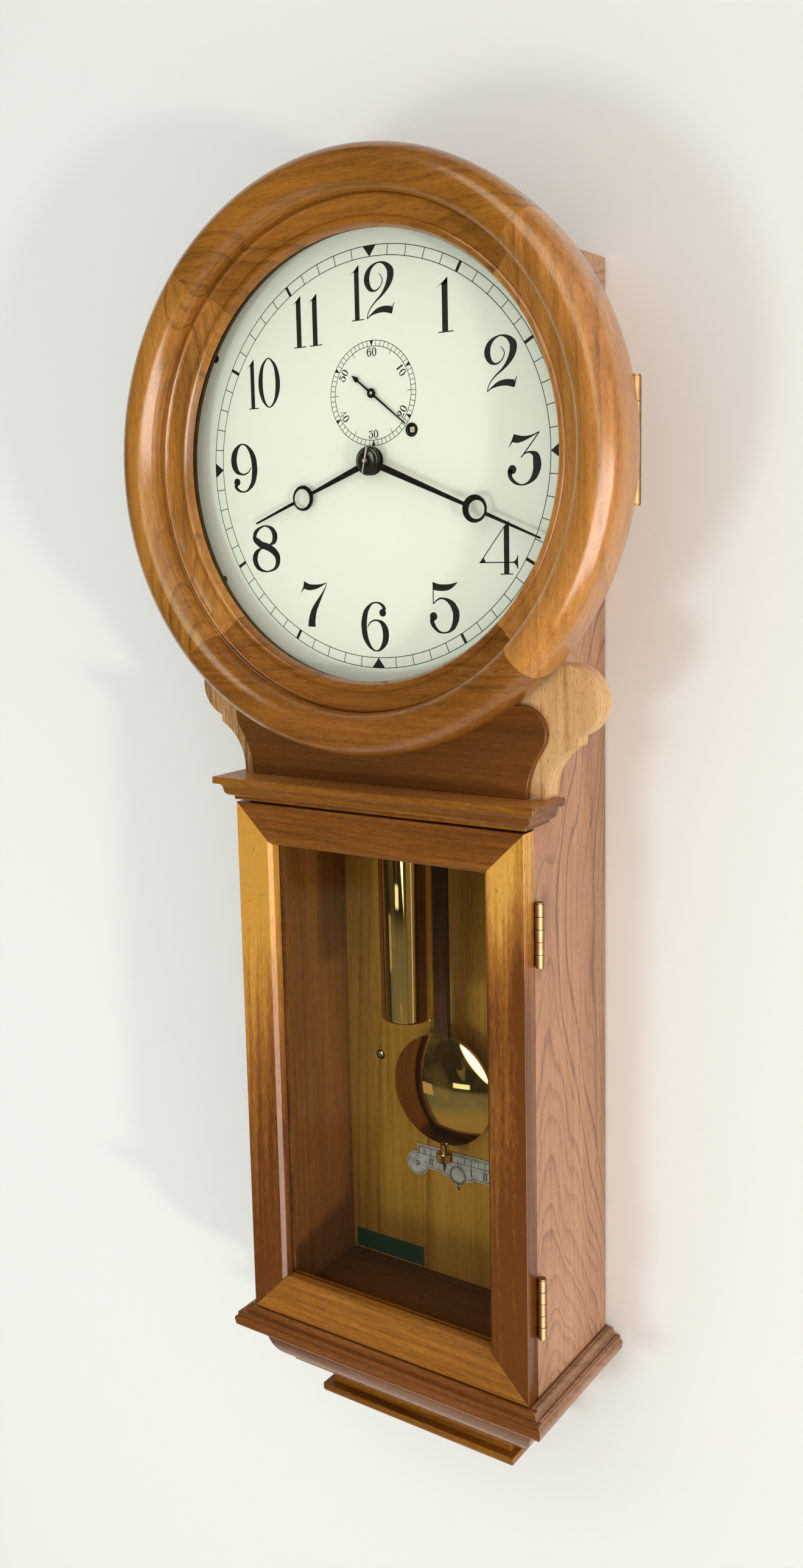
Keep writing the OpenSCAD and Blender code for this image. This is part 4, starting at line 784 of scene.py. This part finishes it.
# The hour and minute hands are blackened steel with an open ring each, and a domed washer
# under a steel taper pin holds them. The seconds hand is a thin blade with a spade tail,
# pushed on its own arbor.
for node, body in (("minute_hand", "centre"), ("hour_hand", "hour")):
    piece(node + "_blade", merged(node), black_enamel, body, "black_paint", node, ease=0.25)
hub = turned([(0, 111.5), (3.4, 111.5), (3.4, 112), (3.1, 112.25), (0, 112.25)], Vector(), TO_ROOM, 40)
BLADE_BACK, BLADE_THICK = 111.55, 0.5
blade = bmesh.new()
outline = [(0.8, -2), (0.65, -13.6), (2, -15.8), (0, -21), (-2, -15.8), (-0.65, -13.6), (-0.8, -2),
           (-0.8, 2), (-0.45, 35.6), (0.45, 35.6), (0.8, 2)]
face = blade.faces.new([blade.verts.new((x * MM, -BLADE_BACK * MM, z * MM)) for x, z in outline])
thick = bmesh.ops.extrude_face_region(blade, geom=[face])["geom"]
bmesh.ops.translate(blade, vec=(0, -BLADE_THICK * MM, 0), verts=only_verts(thick))
bmesh.ops.recalc_face_normals(blade, faces=blade.faces)
hand = together(hub, blade)
bmesh.ops.transform(hand, matrix=Matrix.Translation(at(0, 0, SECONDS_RISE)) @ Matrix.Rotation(
    math.radians(SECONDS_ANGLE), 4, "Y"), verts=hand.verts)
piece("seconds_hand_blade", hand, black_enamel, "escape", "black_paint", "seconds_hand", ease=0.12)
piece("hand_washer", turned(
    [(1.6, 118), (9.4, 118), (9.4, 118.6), (9.1, 119), (8.3, 119.2), (8.0, 119.5), (7.2, 120.3), (5.6, 121.1),
     (3.6, 121.5), (1.6, 121.6), (1.6, 118)], at(0, 0, 0), TO_ROOM, 64),
    black_enamel, "centre", "black_paint", "hand_cap")
lean = Matrix.Rotation(math.radians(13.5), 4, "Y")
taper_pin = turned([(0, -9.3), (0.36, -9.3), (0.42, -9.1), (0.62, 9.1), (0.55, 9.3), (0, 9.3)],
                   at(0, 122.2, 0), lean, 20)
arbor_end = turned([(0, 121.3), (1.65, 121.3), (1.65, 122.7), (1.2, 123.1), (0, 123.2)],
                   at(0, 0, 0), TO_ROOM, 24)
piece("taper_pin", together(taper_pin, arbor_end), filed_steel, "centre", "steel")
piece("seconds_arbor_end", turned([(0, 111.9), (1.1, 111.9), (1.1, 112.3), (0.7, 112.5), (0, 112.5)],
                                  at(0, 0, SECONDS_RISE), TO_ROOM, 20), filed_steel, "escape", "steel")

# The movement has lacquered brass plates and wheels on steel arbors, held by four pillars.
# It stands on the seat board behind the dial. The line runs from its drum under the weight's
# pulley and back up to a hook, so both runs lengthen as the weight falls.
brass = metal("lacquered brass", "d8b568", "a8843c", 0.22)
polished_brass = metal("polished brass", "dccb8e", "b49c5c", 0.02, 0.3, 25)
aged_brass = metal("aged brass", "8f6e4c", "60492c", 0.35, 0.6, 120)
cord = metal("weight line", "6a5a44", "4a3d2c", 0.6)
finished(brass, "front_plate", "back_plate", "plate_pillars", "suspension_cock", "centre_wheel",
         "hour_wheel", "minute_wheel", "third_wheel", "escape_wheel", "great_wheel", "winding_drum",
         "cannon_pinion")
finished(steel, "line_hook", "click", "pallets", "suspension_spring", "catch_stud")
finished(cord, "line_bight")
for node in ("line_drum_run", "line_hook_run"):
    run = piece(node + "_paid_out", merged(node), cord, None, "line", node)
    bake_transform(run)
# The glass ring behind the bezel's lip is dark brown as painted shade, for the dark gap round the glass.
finished(metal("glass ring in painted shade", "4b3a22", "2c2213", 0.4), "bezel_glass_ring")

# The hinges are pressed brass with turned barrels, gone a little dull. The small hook on the
# left side of the case is brass too.
for node, body in (("hinge_leaves", "case"), ("hinge_pins", "case"), ("door_fittings", "door"),
                   ("bezel_hinge_flap", "bezel"), ("door_catch", "catch")):
    piece(node + "_brass", merged(node), aged_brass, body, "aged_brass", node, ease=0.2)

# The bezel is turned from four quarters of walnut, glued on the diagonals, so that each quarter shows its own grain
# and tone. It is rebated wide behind its lip, and the rebate is painted black as shade.
quarters = (
    ("top", (0, 1), LEVEL, (0, 0.25, 0.33), ("a96c20", "8a5618", "5a350b", "442708"), 0.6),
    ("right", (1, 0), UPRIGHT, (0.1, 0.22, -0.12), ("cb8b46", "ad7130", "7e4c18", "643910"), 0.5),
    ("bottom", (0, -1), LEVEL, (0.2, 0.24, -0.2), ("9c6120", "7c4a14", "4e2c0a", "3b2006"), 0.5),
    ("left", (-1, 0), UPRIGHT, (0, 0.25, 0.36), ("bb8038", "9c6624", "6d4212", "53310c"), 0.6),
)
LIP_R, LIP_OUT, GLASS_OUT = 158, 120.5, 124.6
REBATE_R = 167
dial_centre = at(0, 0, 0)
for side, way, turn, heart, tones, line in quarters:
    quarter = merged("bezel_ring")
    bmesh.ops.bisect_plane(quarter, geom=quarter.verts[:] + quarter.edges[:] + quarter.faces[:], dist=1e-7,
                           plane_co=at(0, LIP_OUT, 0), plane_no=(0, 1, 0))
    for vert in quarter.verts:
        out = math.hypot(vert.co.x, vert.co.z - dial_centre.z) / MM
        if out < LIP_R + 0.5 and -vert.co.y < (LIP_OUT - 1) * MM:
            vert.co.x *= REBATE_R / out
            vert.co.z = dial_centre.z + (vert.co.z - dial_centre.z) * REBATE_R / out
    away = []
    for face in quarter.faces:
        spot = face.calc_center_median() - dial_centre
        reach = {name: spot.x * to[0] + spot.z * to[1] for name, to, *rest in quarters}
        if max(reach, key=reach.get) != side:
            away.append(face)
        # The faces of the rebate behind the lip take the black: painted shade.
        elif math.hypot(spot.x, spot.z) < (LIP_R + 6) * MM and -spot.y < GLASS_OUT * MM:
            face.material_index = 1
    bmesh.ops.delete(quarter, geom=away, context="FACES")
    timber = wood("bezel walnut " + side, tones, turn, heart, rings=70, taper=0.04, wander=0.03, line=line,
                  cloudy=0.9, pores=0.45, gloss=0.7, rough=0.3)
    piece("bezel_quarter_" + side, quarter, (timber, painted_shade), "bezel", "bezel_wood", "bezel_ring", ease=0.12)

# The glass in the bezel and in the door is plain window glass.
pane = new_finish("clear window glass")
facing = pane.node("LayerWeight", {}, {"Blend": 0.5}, "Facing")
edge_on = facing.math("POWER", facing, 5)
clear_glass = pane.shade({
    "Base Color": (1, 1, 1, 1),
    "Metallic": 1.0,
    "Roughness": 0.02,
    "Alpha": edge_on * 0.9 + 0.02,
})
finished(clear_glass, "bezel_glass", "door_glass")

# The door frame is mitred from four members and chamfered round the glass, which thin beads
# hold from behind. The stiles are golden, the rails browner.
stile_left, stile_right = (
    wood("door stile walnut " + side, tones, UPRIGHT, (0.53, 0.14, 0.1), rings=90, line=0.5, cloudy=1.0,
         pores=0.5, gloss=0.35, rough=0.35, deepen=deepen)
    for side, tones, deepen in (("left", ("ca9039", "965c22", "62340e", "472509"), (0, 0.16, -0.2, 1.1)),
                                ("right", ("d59c45", "9e6428", "66370f", "4a260a"), (0, 0.16, 0.02, 0.75))))
rail_top, rail_bottom = (
    wood(name, tones, LEVEL, heart, rings=100, line=0.4, pores=0.6, gloss=0.35, rough=0.35)
    for name, tones, heart in (
        ("door top rail walnut", ("965c1f", "754415", "4d2b0b", "351c06"), (0, 0.13, 0.4)),
        ("door bottom rail walnut", ("b2782c", "90591d", "643f11", "472a0a"), (0, 0.13, 0.8))))
for node, timber in (("door_stile_left", stile_left), ("door_stile_right", stile_right),
                     ("door_rail_top", rail_top), ("door_rail_bottom", rail_bottom), ("glass_beads", rail_top)):
    piece(node + "_frame", merged(node), timber, "door", "door_wood", node, ease=0.5)

# The weight is a polished brass tube with a cap pressed in each end, hung by a stirrup from
# a brass pulley on the line.
piece("weight_tube", turned(
    [(0, 0), (17.2, 0), (18.6, 0.25), (19.6, 1.1), (20, 2.6), (20, 152.4), (19.6, 153.9), (18.6, 154.75),
     (17.2, 155), (5, 155), (5, 156.2), (0, 156.2)], at(0, 82, -413), UPWARD, 128),
    polished_brass, "weight", "polished_brass", "weight_shell", crease=50)
for node, part, body in (("weight_pulley", "_wheel", "pulley"), ("weight_stirrup", "_strap", "weight")):
    piece(node + part, merged(node), polished_brass, body, "polished_brass", node, ease=0.2)

# The pendulum is a dark walnut rod on a spring, with a lens-shaped brass bob that rests on
# a knurled rating nut.
rod_walnut = wood("rod walnut", ("5f3c1c", "452912", "2e1a0a", "201206"), UPRIGHT, (0, 0.1, 0.1), gloss=0.3)
finished(rod_walnut, "pendulum_rod")
ROD_OUT = 33.5
BOB_R, BOB_RISE, RIM = 45, 12, 1.5
swell = [BOB_R * (1 - k / 24) for k in range(25)]
dome = [(r, RIM + (BOB_RISE - RIM) * (1 - (r / BOB_R) ** 2)) for r in swell]
lens_profile = [(r, -h) for r, h in reversed(dome)] + [(BOB_R, 0)] + dome
piece("pendulum_bob_lens", turned(lens_profile, at(0, ROD_OUT, -488), TO_ROOM, 128),
      polished_brass, "pendulum", "polished_brass", "pendulum_bob", crease=60)
knurl = bmesh.new()
rim = bmesh.ops.create_circle(knurl, segments=96, radius=6.5 * MM, cap_ends=True)["verts"]
for vert in rim[1::2]:
    vert.co *= 0.955
deep = bmesh.ops.extrude_face_region(knurl, geom=knurl.faces[:])["geom"]
bmesh.ops.translate(knurl, vec=(0, 0, -6.8 * MM), verts=only_verts(deep))
bmesh.ops.recalc_face_normals(knurl, faces=knurl.faces)
bmesh.ops.transform(knurl, matrix=Matrix.Translation(at(0, ROD_OUT, -540.8)), verts=knurl.verts)
neck = turned([(1.6, 0), (3.1, 0), (3.6, -0.5), (3.6, -6.6), (4.6, -7.4), (6.0, -7.5), (6.0, -14.5), (5, -15),
               (1.6, -15), (1.6, 0)], at(0, ROD_OUT, -533.2), UPWARD, 48)
piece("rating_nut_knurled", together(knurl, neck), polished_brass, "nut", "polished_brass", "rating_nut",
      crease=25)

# The beat plate is a small silvered plate pinned to the backboard under the bob. A ruled
# scale with plain marks shows how far the pendulum swings, and a round boss marks its middle.
PLATE_FACE = 13.5
silver_wash = new_finish("silvered brass")
bloom = silver_wash.noise(silver_wash.place, 160, 4, 0.65)
silvered = silver_wash.shade({
    "Base Color": silver_wash.mix(bloom.rise(0.35, 0.7), paint("c9c5bc"), paint("a09b91")),
    "Metallic": 0.25,
    "Roughness": bloom * 0.2 + 0.4,
})
plate = merged("beat_plate")
front = min(plate.faces, key=lambda f: f.normal.y * f.calc_area())
bmesh.ops.inset_region(plate, faces=[front], thickness=1.1 * MM, use_even_offset=True)
for face in bmesh.ops.inset_region(plate, faces=[front], thickness=0.5 * MM, use_even_offset=True)["faces"]:
    face.material_index = 1
piece("beat_scale_plate", plate, (silvered, printers_ink), "case", "steel", "beat_plate")
scale = Lettering(PLATE_FACE)
RULE_TOP, RULE_FOOT, STEP = -552.0, -557.6, 6.4
MARK_TOP, MARK_FOOT = -560.4, -565.8
BOSS_Z = -568.1
PIN_X, PIN_Z = 38.6, -566.7
for z in (RULE_TOP, RULE_FOOT):
    scale.line(-6 * STEP + 1, z, 6 * STEP - 1, z, 0.2)
for k in range(-6, 7):
    end = RULE_FOOT - 2.4 if k % 2 == 0 and abs(k) < 6 else RULE_FOOT
    x = k * STEP - math.copysign(1, k) * (abs(k) == 6)
    scale.line(x, RULE_TOP, x, end, 0.25)
for k, count in ((-4, 2), (-2, 1), (2, 1), (4, 2)):
    for n in range(count):
        x = k * STEP + (n - (count - 1) / 2) * 2.2
        scale.line(x, MARK_TOP, x, MARK_FOOT, 0.5)
    half = 1.1 + 1.1 * (count - 1)
    for z in (MARK_TOP, MARK_FOOT):
        scale.line(k * STEP - half, z, k * STEP + half, z, 0.2)
for radius, half in ((7.3, 0.35), (6.2, 0.2)):
    scale.circle(0, BOSS_Z, radius, half)
for x in (-PIN_X, PIN_X):
    scale.circle(x, PIN_Z, 1.7, 0.35)
piece("beat_scale_marks", scale.done(), printers_ink, "case", "line")
boss = turned([(0, 13.4), (5.7, 13.4), (5.5, 13.75), (4.6, 13.9), (4.2, 13.75), (0, 13.85)],
              at(0, 0, BOSS_Z), TO_ROOM, 48)
pins = [turned([(0, 13.4), (1.3, 13.4), (1.2, 13.9), (0.7, 14.1), (0, 14.1)], at(x, 0, PIN_Z), TO_ROOM, 24)
        for x in (-PIN_X, PIN_X)]
piece("beat_scale_boss_and_pins", together(boss, *pins), silvered, "case", "steel")

# A strip of green plastic tape is stuck low on the backboard.
tape = bmesh.new()
bmesh.ops.create_cube(tape, size=1, matrix=Matrix.Translation(at(-69, 12.1, -649.7)) @ Matrix.Diagonal(
    (68 * MM, 0.3 * MM, 16.5 * MM, 1)))
plastic = new_finish("green tape")
ripple = plastic.noise(plastic.place, 160, 2)
green_tape = plastic.shade({
    "Base Color": plastic.mix(ripple, paint("0f3a26"), paint("14482f")),
    "Roughness": ripple * 0.1 + 0.3,
    "Normal": plastic.bump(ripple, 0.0002, 0.3),
})
piece("blank_tape", tape, green_tape, "case", "line", ease=0.12)
